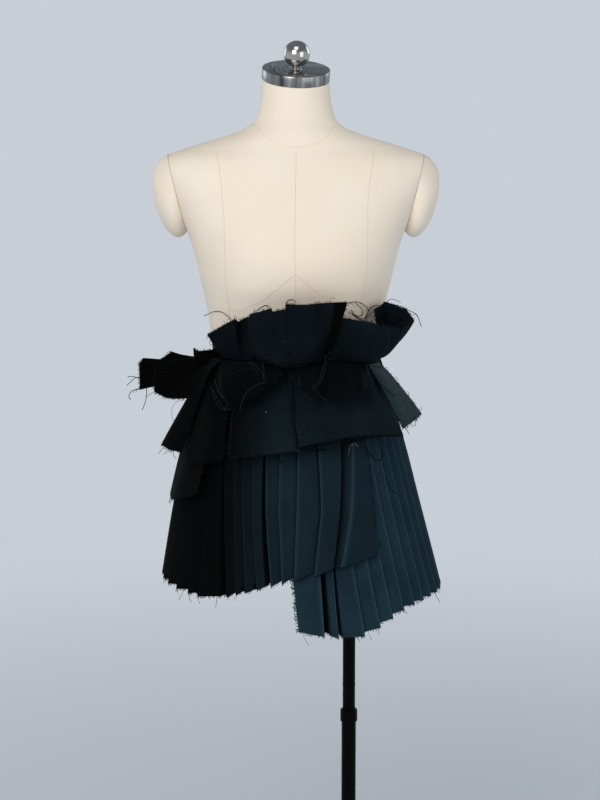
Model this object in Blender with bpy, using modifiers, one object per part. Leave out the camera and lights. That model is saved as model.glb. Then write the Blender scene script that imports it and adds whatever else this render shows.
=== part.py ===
"""Mini skirt of raw-edged navy tiers, worn by a limbless dress form on its pole stand.

The cloth is a wrapped skirt: two knife-pleated panels (a long one that starts at the front and
runs round the right side, a shorter one over it that runs round the left side), a short hip
layer on the left, a peplum of flared panels, two rows of folded ruffles and a small box flap,
all sewn to a waistband.

Sizes of the cloth and of the form are in millimetres from the point where the form's centre
line meets its waist: x to the viewer's right, y to the back, z up. place() turns them into
metres above the floor, with the origin under the middle of the stand's base.
Angles go round the waist in degrees: 0 is the centre front, 90 the viewer's right, -90 the left.
"""
import math
from collections import namedtuple

import bmesh
import bpy
from mathutils import Matrix, Vector

MM = 0.001
PART = "mini_skirt_on_dress_form"

# Places of the form above the floor
WAIST_Z = 1.020
FORM_X = -0.081

# Cloth
CLOTH = 1.2
SEAM_GAP = 0.3
SEAM_Z = 38.0
RUFFLE_ROOT = 2.4
BAND_LOW = 38.8
BAND_HIGH = 50.0
BAND_OUT = 0.9
BAND_TURNS = 60

# Stand
UPPER_TUBE_D = 19.0
LOWER_TUBE_D = 22.0
COLLAR_D = 26.0
COLLAR_TOP = 518.0
COLLAR_H = 21.0
RING_Z = 554.0
BASE_D = 360.0
BASE_T = 8.0
BOSS_D = 60.0
BOSS_H = 30.0

# Neck cap
CAP_D = 100.0
CAP_T = 16.0
CAP_TILT = math.radians(14.0)
CAP_ROLL = math.radians(2.5)
CAP_CENTRE = Vector((0.0, -2.0, 461.5))
STEM_D = 15.0
STEM_H = 5.0
STEM_FORWARD = 8.0
BALL_D = 39.0

FORM_SIDES = 36
Section = namedtuple("Section", "z half_width front back round_power")
FORM_SECTIONS = [
    Section(-215, 150, 88, 104, 2.2),
    Section(-205, 162, 98, 116, 2.2),
    Section(-180, 169, 104, 124, 2.2),
    Section(-130, 162, 101, 117, 2.2),
    Section(-80, 145, 95, 104, 2.2),
    Section(-35, 126, 88, 86, 2.15),
    Section(0, 118, 84, 76, 2.1),
    Section(40, 121, 88, 79, 2.1),
    Section(85, 127, 96, 88, 2.1),
    Section(125, 133, 106, 96, 2.15),
    Section(160, 141, 119, 102, 2.2),
    Section(195, 149, 124, 107, 2.25),
    Section(230, 160, 118, 111, 2.3),
    Section(265, 176, 106, 113, 2.35),
    Section(300, 194, 94, 110, 2.4),
    Section(325, 203, 84, 102, 2.4),
    Section(342, 192, 76, 92, 2.2),
    Section(353, 162, 70, 82, 2.0),
    Section(363, 130, 66, 72, 2.0),
    Section(372, 100, 63, 64, 2.0),
    Section(381, 76, 60, 58, 2.0),
    Section(392, 61, 55, 54, 2.0),
    Section(410, 54, 50, 51, 2.0),
    Section(435, 50, 48, 49, 2.0),
    Section(480, 50, 48, 49, 2.0),
]

# Armhole: the plane that ends the shoulder, and the round stump that fills it
ARM_X = 172.5
ARM_Z = 281.0
ARM_LEAN = math.radians(13.5)
ARM_HALF_HEIGHT = 64.0
ARM_HALF_DEPTH = 55.0
ARM_Y = 6.0
ARM_REACH = 36.0
ARM_CUT_FROM = 150.0

# The skirt's own line, where the long pleated panel runs: an ellipse at each height
SkirtRow = namedtuple("SkirtRow", "z half_width front back centre_x over_gap pleat_depth tuck")
SKIRT_ROWS = [
    SkirtRow(-350, 214, 178, 170, 14, 10.0, 6.5, 3.4),
    SkirtRow(-290, 202, 168, 160, 11, 9.5, 6.0, 3.0),
    SkirtRow(-165, 176, 145, 136, 5, 8.6, 5.0, 2.4),
    SkirtRow(-75, 156, 122, 112, 2, 7.0, 3.4, 0.6),
    SkirtRow(0, 132, 100, 90, 0, 5.0, 2.0, -1.6),
    SkirtRow(38, 123.5, 90.5, 81.7, 0, 2.7, 0.8, -3.0),
]


def place(point):
    """A place in the form's millimetres, as metres above the floor."""
    return Vector((FORM_X + point[0] * MM, point[1] * MM, WAIST_Z + point[2] * MM))


def blend_rows(rows, z):
    """The row of a table at height z, each column smoothed between its neighbours."""
    rows = sorted(rows)
    z = min(max(z, rows[0].z), rows[-1].z)
    k = max(i for i in range(len(rows) - 1) if rows[i].z <= z)
    a, b = rows[k], rows[k + 1]
    before = rows[k - 1] if k else a
    after = rows[k + 2] if k + 2 < len(rows) else b
    span = b.z - a.z
    t = (z - a.z) / span
    values = [z]
    for i in range(1, len(a)):
        slope_a = (b[i] - before[i]) / (b.z - before.z) * span
        slope_b = (after[i] - a[i]) / (after.z - a.z) * span
        values.append(
            (2 * t**3 - 3 * t**2 + 1) * a[i]
            + (t**3 - 2 * t**2 + t) * slope_a
            + (3 * t**2 - 2 * t**3) * b[i]
            + (t**3 - t**2) * slope_b
        )
    return type(a)(*values)


def straight_rows(pairs, key):
    """The value at a key in a short table of (key, value) pairs, in straight steps."""
    if key <= pairs[0][0]:
        return pairs[0][1]
    for (k0, v0), (k1, v1) in zip(pairs, pairs[1:]):
        if key <= k1:
            return v0 + (v1 - v0) * (key - k0) / (k1 - k0)
    return pairs[-1][1]


def form_point(degrees, z, out=0.0):
    """A place on the form's surface, or that far outside it."""
    row = blend_rows(FORM_SECTIONS, z)
    angle = math.radians(degrees)
    side, depth = math.sin(angle), -math.cos(angle)
    reach = row.front if depth < 0 else row.back
    power = 2.0 / row.round_power
    x = math.copysign(abs(side) ** power, side) * (row.half_width + out)
    y = math.copysign(abs(depth) ** power, depth) * (reach + out)
    return Vector((x, y, z))


def skirt_point(degrees, z, out=0.0):
    """A place on the skirt's own line, or that far outside it."""
    row = blend_rows(SKIRT_ROWS, z)
    angle = math.radians(degrees)
    side, depth = math.sin(angle), -math.cos(angle)
    reach = row.front if depth < 0 else row.back
    return Vector((row.centre_x + side * (row.half_width + out), depth * (reach + out), z))


def material(name, colour, roughness, metallic=0.0):
    """A plain Principled material."""
    mat = bpy.data.materials.new(name)
    mat.use_nodes = True
    shader = mat.node_tree.nodes["Principled BSDF"]
    shader.inputs["Base Color"].default_value = (*colour, 1.0)
    shader.inputs["Roughness"].default_value = roughness
    shader.inputs["Metallic"].default_value = metallic
    return mat


def add_object(name, mesh, mat):
    """A named object in the part's collection, with its material."""
    obj = bpy.data.objects.new(name, mesh)
    mesh.materials.clear()
    mesh.materials.append(mat)
    bpy.data.collections[PART].objects.link(obj)
    return obj


def mesh_from(bm, name):
    """The bmesh as a mesh with its faces pointing out and its round parts smooth."""
    bmesh.ops.recalc_face_normals(bm, faces=bm.faces)
    mesh = bpy.data.meshes.new(name)
    bm.to_mesh(mesh)
    bm.free()
    mesh.shade_smooth()
    mesh.set_sharp_from_angle(angle=math.radians(40))
    return mesh


def loft(bm, rings, caps=True):
    """Quads between rings of equal length, each ring closed round, with flat ends."""
    verts = [[bm.verts.new(place(p)) for p in ring] for ring in rings]
    count = len(rings[0])
    for low, high in zip(verts, verts[1:]):
        for i in range(count):
            j = (i + 1) % count
            bm.faces.new((low[i], low[j], high[j], high[i]))
    if caps:
        bm.faces.new(verts[0])
        bm.faces.new(verts[-1])
    return verts


def cut_flat(bm, point, normal, lowest):
    """Cut away what lies beyond a plane, above a height, and close the cut with a flat face."""
    floor = place((0, 0, lowest)).z
    verts = [v for v in bm.verts if v.co.z > floor]
    edges = [e for e in bm.edges if all(v.co.z > floor for v in e.verts)]
    faces = [f for f in bm.faces if all(v.co.z > floor for v in f.verts)]
    geometry = verts + edges + faces
    cut = bmesh.ops.bisect_plane(
        bm, geom=geometry, plane_co=place(point), plane_no=normal, clear_outer=True, dist=1e-6
    )
    edges = [e for e in cut["geom_cut"] if isinstance(e, bmesh.types.BMEdge)]
    bmesh.ops.edgeloop_fill(bm, edges=edges)


def cap_frame():
    """The neck cap's turn: leaning to the front and a little down to the viewer's right."""
    return Matrix.Rotation(CAP_TILT, 3, "X") @ Matrix.Rotation(CAP_ROLL, 3, "Y")


def arm_plane(side):
    """Middle and outward normal of the armhole on one side (+1 viewer's right)."""
    middle = Vector((side * ARM_X, ARM_Y, ARM_Z))
    normal = Vector((side * math.cos(ARM_LEAN), 0.0, -math.sin(ARM_LEAN)))
    return middle, normal


def build_torso(mat):
    """The padded torso: smooth sections, cut flat at both armholes and at the neck."""
    bm = bmesh.new()
    heights = [s.z for s in FORM_SECTIONS]
    levels = []
    for z0, z1 in zip(heights, heights[1:]):
        levels.append(z0)
        if z1 - z0 > 38:
            levels.append((z0 + z1) / 2)
    levels.append(heights[-1])
    turns = [360.0 * i / FORM_SIDES for i in range(FORM_SIDES)]
    loft(bm, [[form_point(a, z) for a in turns] for z in levels])
    for side in (-1, 1):
        middle, normal = arm_plane(side)
        cut_flat(bm, middle, normal, ARM_CUT_FROM)
    up = cap_frame() @ Vector((0, 0, 1))
    cut_flat(bm, CAP_CENTRE - up * (CAP_T / 2 + SEAM_GAP), up, ARM_Z)
    return add_object("form_torso", mesh_from(bm, "form_torso"), mat)


def build_arm_cap(side, mat):
    """The round stump that closes an armhole."""
    middle, normal = arm_plane(side)
    along = Vector((side * math.sin(ARM_LEAN), 0.0, math.cos(ARM_LEAN)))
    across = Vector((0.0, 1.0, 0.0))
    steps, sides = 6, 24
    rings = []
    for k in range(steps):
        swell = math.radians(90.0 * k / (steps - 0.55))
        reach = ARM_REACH * math.sin(swell) + SEAM_GAP
        size = math.cos(swell) ** 0.8
        ring = []
        for i in range(sides):
            turn = 2 * math.pi * i / sides
            ring.append(
                middle
                + normal * reach
                + along * (ARM_HALF_HEIGHT * size * math.sin(turn))
                + across * (ARM_HALF_DEPTH * size * math.cos(turn))
            )
        rings.append(ring)
    bm = bmesh.new()
    loft(bm, rings)
    name = "form_arm_cap_right" if side > 0 else "form_arm_cap_left"
    return add_object(name, mesh_from(bm, name), mat)


def turned(name, profile, mat, centre, frame=None, sides=32):
    """A turned solid: radius and height pairs from the bottom centre to the top centre."""
    bm = bmesh.new()
    frame = frame or Matrix.Identity(3)
    rings = []
    for radius, height in profile:
        ring = []
        for i in range(sides):
            turn = 2 * math.pi * i / sides
            ring.append(centre + frame @ Vector((radius * math.cos(turn), radius * math.sin(turn), height)))
        rings.append(ring)
    loft(bm, rings)
    return add_object(name, mesh_from(bm, name), mat)


def build_neck(mat):
    """Steel neck cap with its stem and ball."""
    frame = cap_frame()
    half, radius, edge = CAP_T / 2, CAP_D / 2, 1.2
    cap = [
        (radius - edge, -half),
        (radius, -half + edge),
        (radius, half - edge),
        (radius - edge, half),
    ]
    turned("neck_cap", cap, mat, CAP_CENTRE, frame, 48)
    top = half + SEAM_GAP
    knob = CAP_CENTRE + frame @ Vector((0, -STEM_FORWARD, 0))
    stem = [(STEM_D / 2 + 2, top), (STEM_D / 2, top + 1.5), (STEM_D / 2, top + STEM_H)]
    turned("neck_stem", stem, mat, knob, frame, 24)
    ball_r = BALL_D / 2
    seat = math.asin(STEM_D / BALL_D)
    middle = knob + frame @ Vector((0, 0, top + STEM_H + SEAM_GAP + ball_r * math.cos(seat)))
    steps = 14
    ball = []
    for k in range(steps + 1):
        turn = math.pi - seat - (math.pi - seat - 0.12) * k / steps
        ball.append((ball_r * math.sin(turn), ball_r * math.cos(turn)))
    turned("neck_ball", ball, mat, middle, frame, 28)


def build_stand(mat):
    """Round base, boss, telescoping pole with its collar; the pole stands off the form's centre."""
    floor = Vector((-FORM_X / MM, 0.0, -WAIST_Z / MM))
    base_r, edge = BASE_D / 2, 3.0
    base = [
        (base_r - 0.8, 0.0),
        (base_r, 0.8),
        (base_r, BASE_T - edge),
        (base_r - edge, BASE_T),
    ]
    turned("base_plate", base, mat, floor, None, 48)
    z = BASE_T + SEAM_GAP
    boss_r = BOSS_D / 2
    boss = [(boss_r, z), (boss_r, z + 8), (boss_r - 6, z + 14), (LOWER_TUBE_D / 2 + 6, z + BOSS_H)]
    turned("base_boss", boss, mat, floor, None, 32)
    lower = LOWER_TUBE_D / 2
    z += BOSS_H + SEAM_GAP
    turned("stand_lower_tube", [(lower, z), (lower, COLLAR_TOP - COLLAR_H - SEAM_GAP)], mat, floor)
    collar, edge = COLLAR_D / 2, 1.5
    low = COLLAR_TOP - COLLAR_H
    rows = [
        (collar - edge, low),
        (collar, low + edge),
        (collar, COLLAR_TOP - 2.5),
        (UPPER_TUBE_D / 2 + 1.0, COLLAR_TOP),
    ]
    turned("stand_collar", rows, mat, floor)
    upper = UPPER_TUBE_D / 2
    z = COLLAR_TOP + SEAM_GAP
    top = WAIST_Z / MM + FORM_SECTIONS[0].z - SEAM_GAP
    ring = RING_Z
    rows = [(upper, z), (upper, ring), (upper + 0.5, ring + 0.6), (upper + 0.5, ring + 2.4)]
    rows += [(upper, ring + 3.0), (upper, top)]
    turned("stand_upper_tube", rows, mat, floor)


def cloth(name, columns, mat):
    """One cloth piece: an open surface through its columns of points, thickened to a wall."""
    bm = bmesh.new()
    verts = [[bm.verts.new(place(p)) for p in column] for column in columns]
    for left, right in zip(verts, verts[1:]):
        for k in range(len(left) - 1):
            bm.faces.new((left[k], right[k], right[k + 1], left[k + 1]))
    mesh = bpy.data.meshes.new(name)
    bm.to_mesh(mesh)
    bm.free()
    mesh.shade_smooth()
    obj = add_object(name, mesh, mat)
    wall = obj.modifiers.new("wall", "SOLIDIFY")
    wall.thickness = CLOTH * MM
    wall.offset = 0.0
    wall.use_even_offset = True
    wall.thickness_clamp = 0.0
    return obj


# Knife pleats. Each row is one pleat line: its angle at the waist, at mid height and at the hem,
# how much deeper than the others it is folded, and the degrees that it gapes at the hem.
Pleat = namedtuple("Pleat", "waist middle hem deeper gap", defaults=[0.0])
OVER_FRONT_PLEATS = [
    Pleat(-58, -52, -52, 1.0),
    Pleat(-49, -45, -46, 1.0),
    Pleat(-43, -35.5, -31, 1.8, 3.6),
    Pleat(-36, -30.5, -27, 0.9),
    Pleat(-30, -26, -23, 1.0),
    Pleat(-24, -21, -18, 0.8),
    Pleat(-17, -15, -12.5, 1.5, 3.0),
    Pleat(-8, -9, -8, 1.0),
    Pleat(2, -1, -3, 0.9),
    Pleat(12, 10, 5, 0.9),
]
UNDER_FRONT_PLEATS = [
    Pleat(8, 7.6, 7.3, 1.9, 3.2),
    Pleat(13, 13.2, 12.9, 1.3, 1.9),
    Pleat(19, 21, 23.5, 0.8),
    Pleat(26, 28, 31, 1.0),
    Pleat(33, 35, 37.5, 0.9),
    Pleat(40, 42, 44, 1.0),
    Pleat(47, 49, 51, 1.0),
    Pleat(54, 56, 58, 1.0),
    Pleat(62, 63.5, 65, 1.0),
    Pleat(70, 71.5, 73, 1.0),
]
OVER_EDGE = Pleat(41, 35.5, 33.5, 1.0)
DEEP_PLEAT_INNER = Pleat(28, 18.3, 12.9, 1.0)
DEEP_PLEAT_EDGE = Pleat(36, 23.6, 16.2, 1.0)
DEEP_PLEAT_RISE = 2.4
UNDER_EDGE = Pleat(-2, -6.1, -2.3, 1.0)
GAP_SINK = 13.0
WAIST_DEPTH, HEM_DEPTH = SKIRT_ROWS[-1].pleat_depth, SKIRT_ROWS[0].pleat_depth
PLEAT_PITCH = 8.6
OVER_BACK_END = -168.0
UNDER_BACK_END = 196.0
MIDDLE_Z = -160.0
PLEAT_ROWS = 6

OVER_HEM = [
    (-168, -284), (-135, -284), (-90, -283), (-62, -288), (-46, -290), (-34, -287),
    (-22, -274), (-4, -255), (17, -238), (34, -227),
]
UNDER_HEM = [
    (-2, -333), (6, -337), (18, -344), (26, -339), (36, -322), (46, -309), (62, -304),
    (90, -303), (135, -300), (196, -298),
]


def pleat_angle(pleat, z, hem):
    """Where a pleat line is at height z."""
    top = (z - MIDDLE_Z) / (SEAM_Z - MIDDLE_Z)
    low = (MIDDLE_Z - z) / (MIDDLE_Z - hem)
    if z > MIDDLE_Z:
        return pleat.middle + (pleat.waist - pleat.middle) * top
    return pleat.middle + (pleat.hem - pleat.middle) * low


def pleat_heights(hem):
    """Heights of a pleated panel's rows, from its hem to the waist."""
    return [hem + (SEAM_Z - hem) * (k / PLEAT_ROWS) for k in range(PLEAT_ROWS + 1)]


def pleat_column(pleat, hem_table, over, level, shift, sink=0.0):
    """One line of points down the panel: level +1 lies on a fold's edge, -1 in its tuck.

    shift moves the line round the skirt by the row's tuck, so that a face ends under a fold;
    sink takes it further in, most at the hem.
    """
    hem = straight_rows(hem_table, pleat.hem)
    column = []
    for z in pleat_heights(hem):
        row = blend_rows(SKIRT_ROWS, z)
        depth = row.pleat_depth * pleat.deeper
        out = (row.over_gap if over else 0.0) + level * row.pleat_depth / 2
        if level < 0:
            out -= 0.55 * (depth - row.pleat_depth) * (0.3 if over else 1.0)
        out -= sink * (row.pleat_depth - WAIST_DEPTH) / (HEM_DEPTH - WAIST_DEPTH)
        turn = math.degrees(shift * row.tuck / row.half_width)
        column.append(skirt_point(pleat_angle(pleat, z, hem) + turn, z, out))
    return column


def face_middle(left, right, bulge=0.5):
    """Points halfway across a pleat's face, a little proud of the straight line."""
    column = []
    for a, b in zip(left, right):
        middle = (a + b) / 2
        outward = Vector((middle.x, middle.y, 0.0)).normalized()
        column.append(middle + outward * bulge)
    return column


def regular_pleats(start, stop, pitch):
    """Evenly pressed pleats for the stretch that turns to the back."""
    count = int(abs(stop - start) / pitch)
    step = (stop - start) / count
    return [Pleat(*(start + step * (k + 1),) * 3, 1.0) for k in range(count)]


def opened_pleat(pleat, table, over, way):
    """Columns of a pleat that gapes: down into the gap, and up to where the cloth comes out."""
    made = []
    for part, level, sink in ((0.55, -1, GAP_SINK), (1.0, 0.4, 0.0)):
        far = way * pleat.gap * part
        moved = Pleat(pleat.waist + far * 0.4, pleat.middle + far * 0.8, pleat.hem + far, 1.0)
        made.append(pleat_column(moved, table, over, level, 0, sink))
    return made


def build_long_pleats(mat):
    """Long pleated panel: from the centre front round the right side, folds to the right."""
    last = UNDER_FRONT_PLEATS[-1].hem
    pleats = UNDER_FRONT_PLEATS + regular_pleats(last, UNDER_BACK_END - PLEAT_PITCH, PLEAT_PITCH)
    columns = [pleat_column(UNDER_EDGE, UNDER_HEM, False, 0.2, 0)]
    for pleat in pleats:
        fold = pleat_column(pleat, UNDER_HEM, False, 1, 0)
        columns += [face_middle(columns[-1], fold), fold]
        if pleat.gap:
            columns += opened_pleat(pleat, UNDER_HEM, False, 1)
        else:
            columns.append(pleat_column(pleat, UNDER_HEM, False, -1, -1))
    end = Pleat(UNDER_BACK_END, UNDER_BACK_END, UNDER_BACK_END, 1.0)
    columns.append(pleat_column(end, UNDER_HEM, False, 0, 0))
    return cloth("long_pleated_panel", columns, mat)


def build_short_pleats(mat):
    """Shorter pleated panel over it: from the front round the left side, folds to the left."""
    first = OVER_FRONT_PLEATS[0].hem
    back = regular_pleats(first, OVER_BACK_END + PLEAT_PITCH, PLEAT_PITCH)
    pleats = sorted(back, key=lambda p: p.hem) + OVER_FRONT_PLEATS
    end = Pleat(OVER_BACK_END, OVER_BACK_END, OVER_BACK_END, 1.0)
    columns = [pleat_column(end, OVER_HEM, True, 0, 0)]
    for pleat in pleats:
        fold = pleat_column(pleat, OVER_HEM, True, 1, 0)
        if pleat.gap:
            inner = opened_pleat(pleat, OVER_HEM, True, -1)[::-1]
        else:
            inner = [pleat_column(pleat, OVER_HEM, True, -1, 1)]
        columns += [face_middle(columns[-1], inner[0]), *inner, fold]
    brink = pleat_column(DEEP_PLEAT_INNER, OVER_HEM, True, 0.9, 0)
    tuck = pleat_column(DEEP_PLEAT_INNER, OVER_HEM, True, -1, 0.12)
    fold = pleat_column(DEEP_PLEAT_EDGE, OVER_HEM, True, DEEP_PLEAT_RISE, 0)
    columns += [face_middle(columns[-1], brink), brink, tuck, fold]
    edge = pleat_column(OVER_EDGE, OVER_HEM, True, 0, 0)
    columns += [face_middle(fold, edge, 1.0), edge]
    return cloth("short_pleated_panel", columns, mat)


# Flat tiers that flare from the waist: each row is one fold line, from its angle on the waist
# seam to the place of its free end; flare is how far its middle stands out from a straight line.
Fold = namedtuple("Fold", "angle out_x out_y out_z flare")
HIP_LAYER = [
    Fold(-128, -139, 128, -150, 4),
    Fold(-112, -174, 78, -158, 5),
    Fold(-96, -187, 28, -163, 6),
    Fold(-82, -188, -22, -164, 6),
    Fold(-70, -179, -68, -160, 6),
    Fold(-58, -160, -100, -150, 5),
    Fold(-50, -143, -118, -143, 5),
]
PEPLUM = {
    "peplum_left_flare": (6.8, [
        Fold(-104, -184, 28, -78, -2),
        Fold(-92, -196, -6, -86, 2),
        Fold(-82, -200, -34, -84, 2),
        Fold(-75, -186, -56, -88, 0),
        Fold(-69, -169, -64, -90, 2),
    ]),
    "peplum_panel_left": (6.9, [
        Fold(-66, -160, -78, -101, 5),
        Fold(-58, -146, -100, -99, 7),
        Fold(-50, -127, -120, -94, 7),
        Fold(-43, -106, -134, -87, 4),
    ]),
    "peplum_panel_centre": (4.8, [
        Fold(-41, -97, -142, -80, 6),
        Fold(-34, -72, -153, -79, 8),
        Fold(-23, -44, -160, -76, 8),
        Fold(-12, -16, -165, -73, 8),
        Fold(-2, 8, -164, -70, 4),
    ]),
    "peplum_panel_right": (6.8, [
        Fold(-6, 5, -176, -61, 3),
        Fold(6, 34, -174, -55, 8),
        Fold(18, 66, -166, -50, 9),
        Fold(30, 98, -152, -47, 9),
        Fold(41, 130, -128, -52, 7),
        Fold(49, 157, -100, -59, 2),
    ]),
    "peplum_back_right": (6.8, [
        Fold(104, 158, 52, -70, 3),
        Fold(114, 154, 76, -76, 5),
        Fold(124, 146, 98, -82, 6),
        Fold(135, 126, 122, -84, 6),
        Fold(145, 102, 138, -80, 3),
    ]),
    "peplum_back_centre": (8.8, [
        Fold(142, 112, 148, -74, 3),
        Fold(156, 74, 160, -78, 8),
        Fold(170, 34, 168, -80, 9),
        Fold(184, -8, 168, -80, 9),
        Fold(198, -52, 162, -76, 6),
        Fold(208, -84, 150, -72, 3),
    ]),
    "peplum_back_left": (6.8, [
        Fold(205, -80, 142, -84, 3),
        Fold(216, -108, 134, -88, 7),
        Fold(228, -136, 110, -90, 8),
        Fold(240, -158, 78, -90, 6),
        Fold(250, -172, 48, -86, 3),
    ]),
}
RIGHT_FLAP = (2.3, [
    Fold(58, 158, -58, -56, 3),
    Fold(64, 168, -46, -51, 8),
    Fold(71, 178, -33, -46, 8),
    Fold(78, 187, -20, -41, 5),
])
TIER_ROWS = 5


def tier_columns(folds, out, top_z=SEAM_Z, rows=TIER_ROWS, between=2):
    """Columns of a flared tier: curves from the waist seam to the free ends, smooth between."""
    curves = []
    for fold in folds:
        root = skirt_point(fold.angle, top_z, out)
        tip = Vector((fold.out_x, fold.out_y, fold.out_z))
        outward = Vector((root.x, root.y, 0.0)).normalized()
        knee = (root + tip) / 2 + outward * fold.flare
        curves.append([curve_point(root, knee, tip, k / rows) for k in range(rows + 1)])
    return between_curves(curves, between)


def curve_point(root, knee, tip, t):
    """A point on the bent line from the root past the knee to the tip."""
    return root * (1 - t) ** 2 + knee * (2 * t * (1 - t)) + tip * t**2


def between_curves(curves, between):
    """The curves with smooth ones between each two, so that a tier waves evenly."""
    columns = []
    last = len(curves) - 1
    for i in range(last):
        before, after = curves[max(i - 1, 0)], curves[min(i + 2, last)]
        for step in range(between):
            t = step / between
            column = []
            for p0, p1, p2, p3 in zip(before, curves[i], curves[i + 1], after):
                bend_1, bend_2 = (p2 - p0) / 2, (p3 - p1) / 2
                column.append(
                    p1 * (2 * t**3 - 3 * t**2 + 1)
                    + bend_1 * (t**3 - 2 * t**2 + t)
                    + p2 * (3 * t**2 - 2 * t**3)
                    + bend_2 * (t**3 - t**2)
                )
            columns.append(column)
    columns.append(curves[-1])
    return columns


# Ruffles: each row is one fold, from its angle on the form to its free end. belly_out and
# belly_down say how far the cloth's middle swells out and hangs below the straight line between
# them; a crisp fold is pressed sharp, the others roll softly.
Ruffle = namedtuple("Ruffle", "angle belly_out belly_down tip_x tip_y tip_z crisp")
UPPER_Z = 48.5
UPPER_RUFFLE = {
    "upper_ruffle_left": [
        Ruffle(-56, 0, 2, -129, -80, 87, 1),
        Ruffle(-46, 4, 6, -108, -106, 102, 0),
        Ruffle(-38, 4, 8, -88, -122, 115, 1),
        Ruffle(-34, 0, 4, -84, -98, 108, 1),
        Ruffle(-31, 2, 6, -72, -106, 115, 1),
        Ruffle(-28.5, 4, 10, -60, -136, 119, 1),
    ],
    "upper_ruffle_centre": [
        Ruffle(-26, 6, 20, -66, -152, 126, 1),
        Ruffle(-20, 16, 42, -51, -157, 131, 0),
        Ruffle(-13, 22, 59, -36, -157, 135, 1),
        Ruffle(-11, 24, 62, -33, -154, 130, 1),
        Ruffle(-4, 24, 66, -15, -158, 134, 1),
        Ruffle(-2.5, 24, 66, -13, -157, 141, 1),
        Ruffle(6, 22, 54, 9, -162, 141, 0),
        Ruffle(12, 14, 32, 27, -166, 143, 1),
        Ruffle(15, 8, 18, 49, -150, 142, 0),
        Ruffle(18, 4, 8, 73, -138, 142, 1),
    ],
    "upper_ruffle_right": [
        Ruffle(21.5, -2, 4, 58, -100, 108, 1),
        Ruffle(25, 4, 10, 74, -134, 119, 1),
        Ruffle(36, 16, 38, 106, -136, 112, 0),
        Ruffle(48, 16, 36, 132, -120, 105, 0),
        Ruffle(58, 12, 28, 154, -104, 100, 1),
        Ruffle(66, 6, 20, 172, -84, 108, 1),
        Ruffle(74, 2, 12, 161, -58, 122, 1),
        Ruffle(79, 2, 10, 131, -62, 133, 1),
        Ruffle(84, 4, 4, 114, -88, 124, 1),
    ],
}
MIDDLE_Z_ROOT = 46.0
MIDDLE_RUFFLE = {
    "middle_ruffle_arm": [
        Ruffle(-122, 2, 10, -151, 36, 30, 1),
        Ruffle(-112, 2, 14, -187, 26, 46, 1),
        Ruffle(-106, 2, 14, -203, 10, 38, 1),
        Ruffle(-100, 3, 12, -229, 0, 41, 1),
        Ruffle(-94, 3, 6, -234, -8, 33, 1),
        Ruffle(-90, 2, 2, -233, -14, -4, 1),
        Ruffle(-84, 2, 8, -212, -34, 2, 1),
        Ruffle(-79, 4, 2, -206, -50, 38, 1),
        Ruffle(-75, 4, 2, -209, -60, 0, 1),
        Ruffle(-71, 8, 0, -191, -62, -9, 0),
        Ruffle(-66, 12, -2, -170, -72, -9, 0),
        Ruffle(-61, 14, -6, -149, -86, -5, 1),
        Ruffle(-57, 12, -10, -135, -96, 11, 1),
    ],
    "middle_ruffle_left": [
        Ruffle(-54.5, 6, -12, -122, -90, 13, 1),
        Ruffle(-51.5, 14, -22, -106, -122, 5, 1),
        Ruffle(-46, 22, -32, -95, -138, -5, 0),
        Ruffle(-40, 26, -34, -76, -150, 0, 1),
        Ruffle(-33, 24, -28, -57, -154, 12, 0),
        Ruffle(-27, 14, -14, -37, -146, 26, 0),
        Ruffle(-22, 6, -4, -23, -128, 34, 1),
        Ruffle(-17, 2, 2, -16, -112, 38, 0),
    ],
    "middle_ruffle_right": [
        Ruffle(-10.5, 2, 2, -8, -112, 37, 0),
        Ruffle(-4, 10, -2, 2, -140, 28, 1),
        Ruffle(3, 20, -8, 12, -156, 16, 0),
        Ruffle(10, 24, -20, 27, -164, 7, 1),
        Ruffle(14, 12, -8, 38, -146, 8, 1),
        Ruffle(20, 24, -20, 54, -164, 7, 0),
        Ruffle(26, 22, -20, 74, -160, 10, 0),
        Ruffle(31, 12, -10, 88, -144, 12, 1),
        Ruffle(38, 14, -14, 97, -142, 15, 1),
        Ruffle(50, 8, -10, 101, -126, 18, 1),
    ],
}
MIDDLE_BACK = (138, 242, 7, 62, 42, -4)
Edge = namedtuple("Edge", "low_x low_y low_z high_x high_y high_z")
BOX_FLAP = [
    Edge(-113.0, -40, 49, -113.4, -40, 62),
    Edge(-124, -46, 47, -121, -48, 61),
    Edge(-145, -50, 42, -142, -54, 59.5),
    Edge(-150, -42, 42, -151, -43, 62),
]
RUFFLE_ROWS = 5


def ruffle_columns(folds, root_z, root_out=RUFFLE_ROOT, rows=RUFFLE_ROWS):
    """Columns of a ruffle: crisp folds stay sharp, soft ones are rounded by one more column."""
    curves = []
    for fold in folds:
        root = form_point(fold.angle, root_z, root_out)
        tip = Vector((fold.tip_x, fold.tip_y, fold.tip_z))
        outward = Vector((root.x, root.y, 0.0)).normalized()
        knee = (root + tip) / 2 + outward * fold.belly_out - Vector((0.0, 0.0, fold.belly_down))
        curves.append([curve_point(root, knee, tip, k / rows) for k in range(rows + 1)])
    columns = []
    for i, curve in enumerate(curves[:-1]):
        following = curves[i + 1]
        columns.append(curve)
        middle = [(a + b) / 2 for a, b in zip(curve, following)]
        swell = 1.6 if not (folds[i].crisp and folds[i + 1].crisp) else 0.6
        columns.append([
            p + Vector((p.x, p.y, 0.0)).normalized() * swell * math.sin(math.pi * k / rows)
            for k, p in enumerate(middle)
        ])
    columns.append(curves[-1])
    return columns


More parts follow.
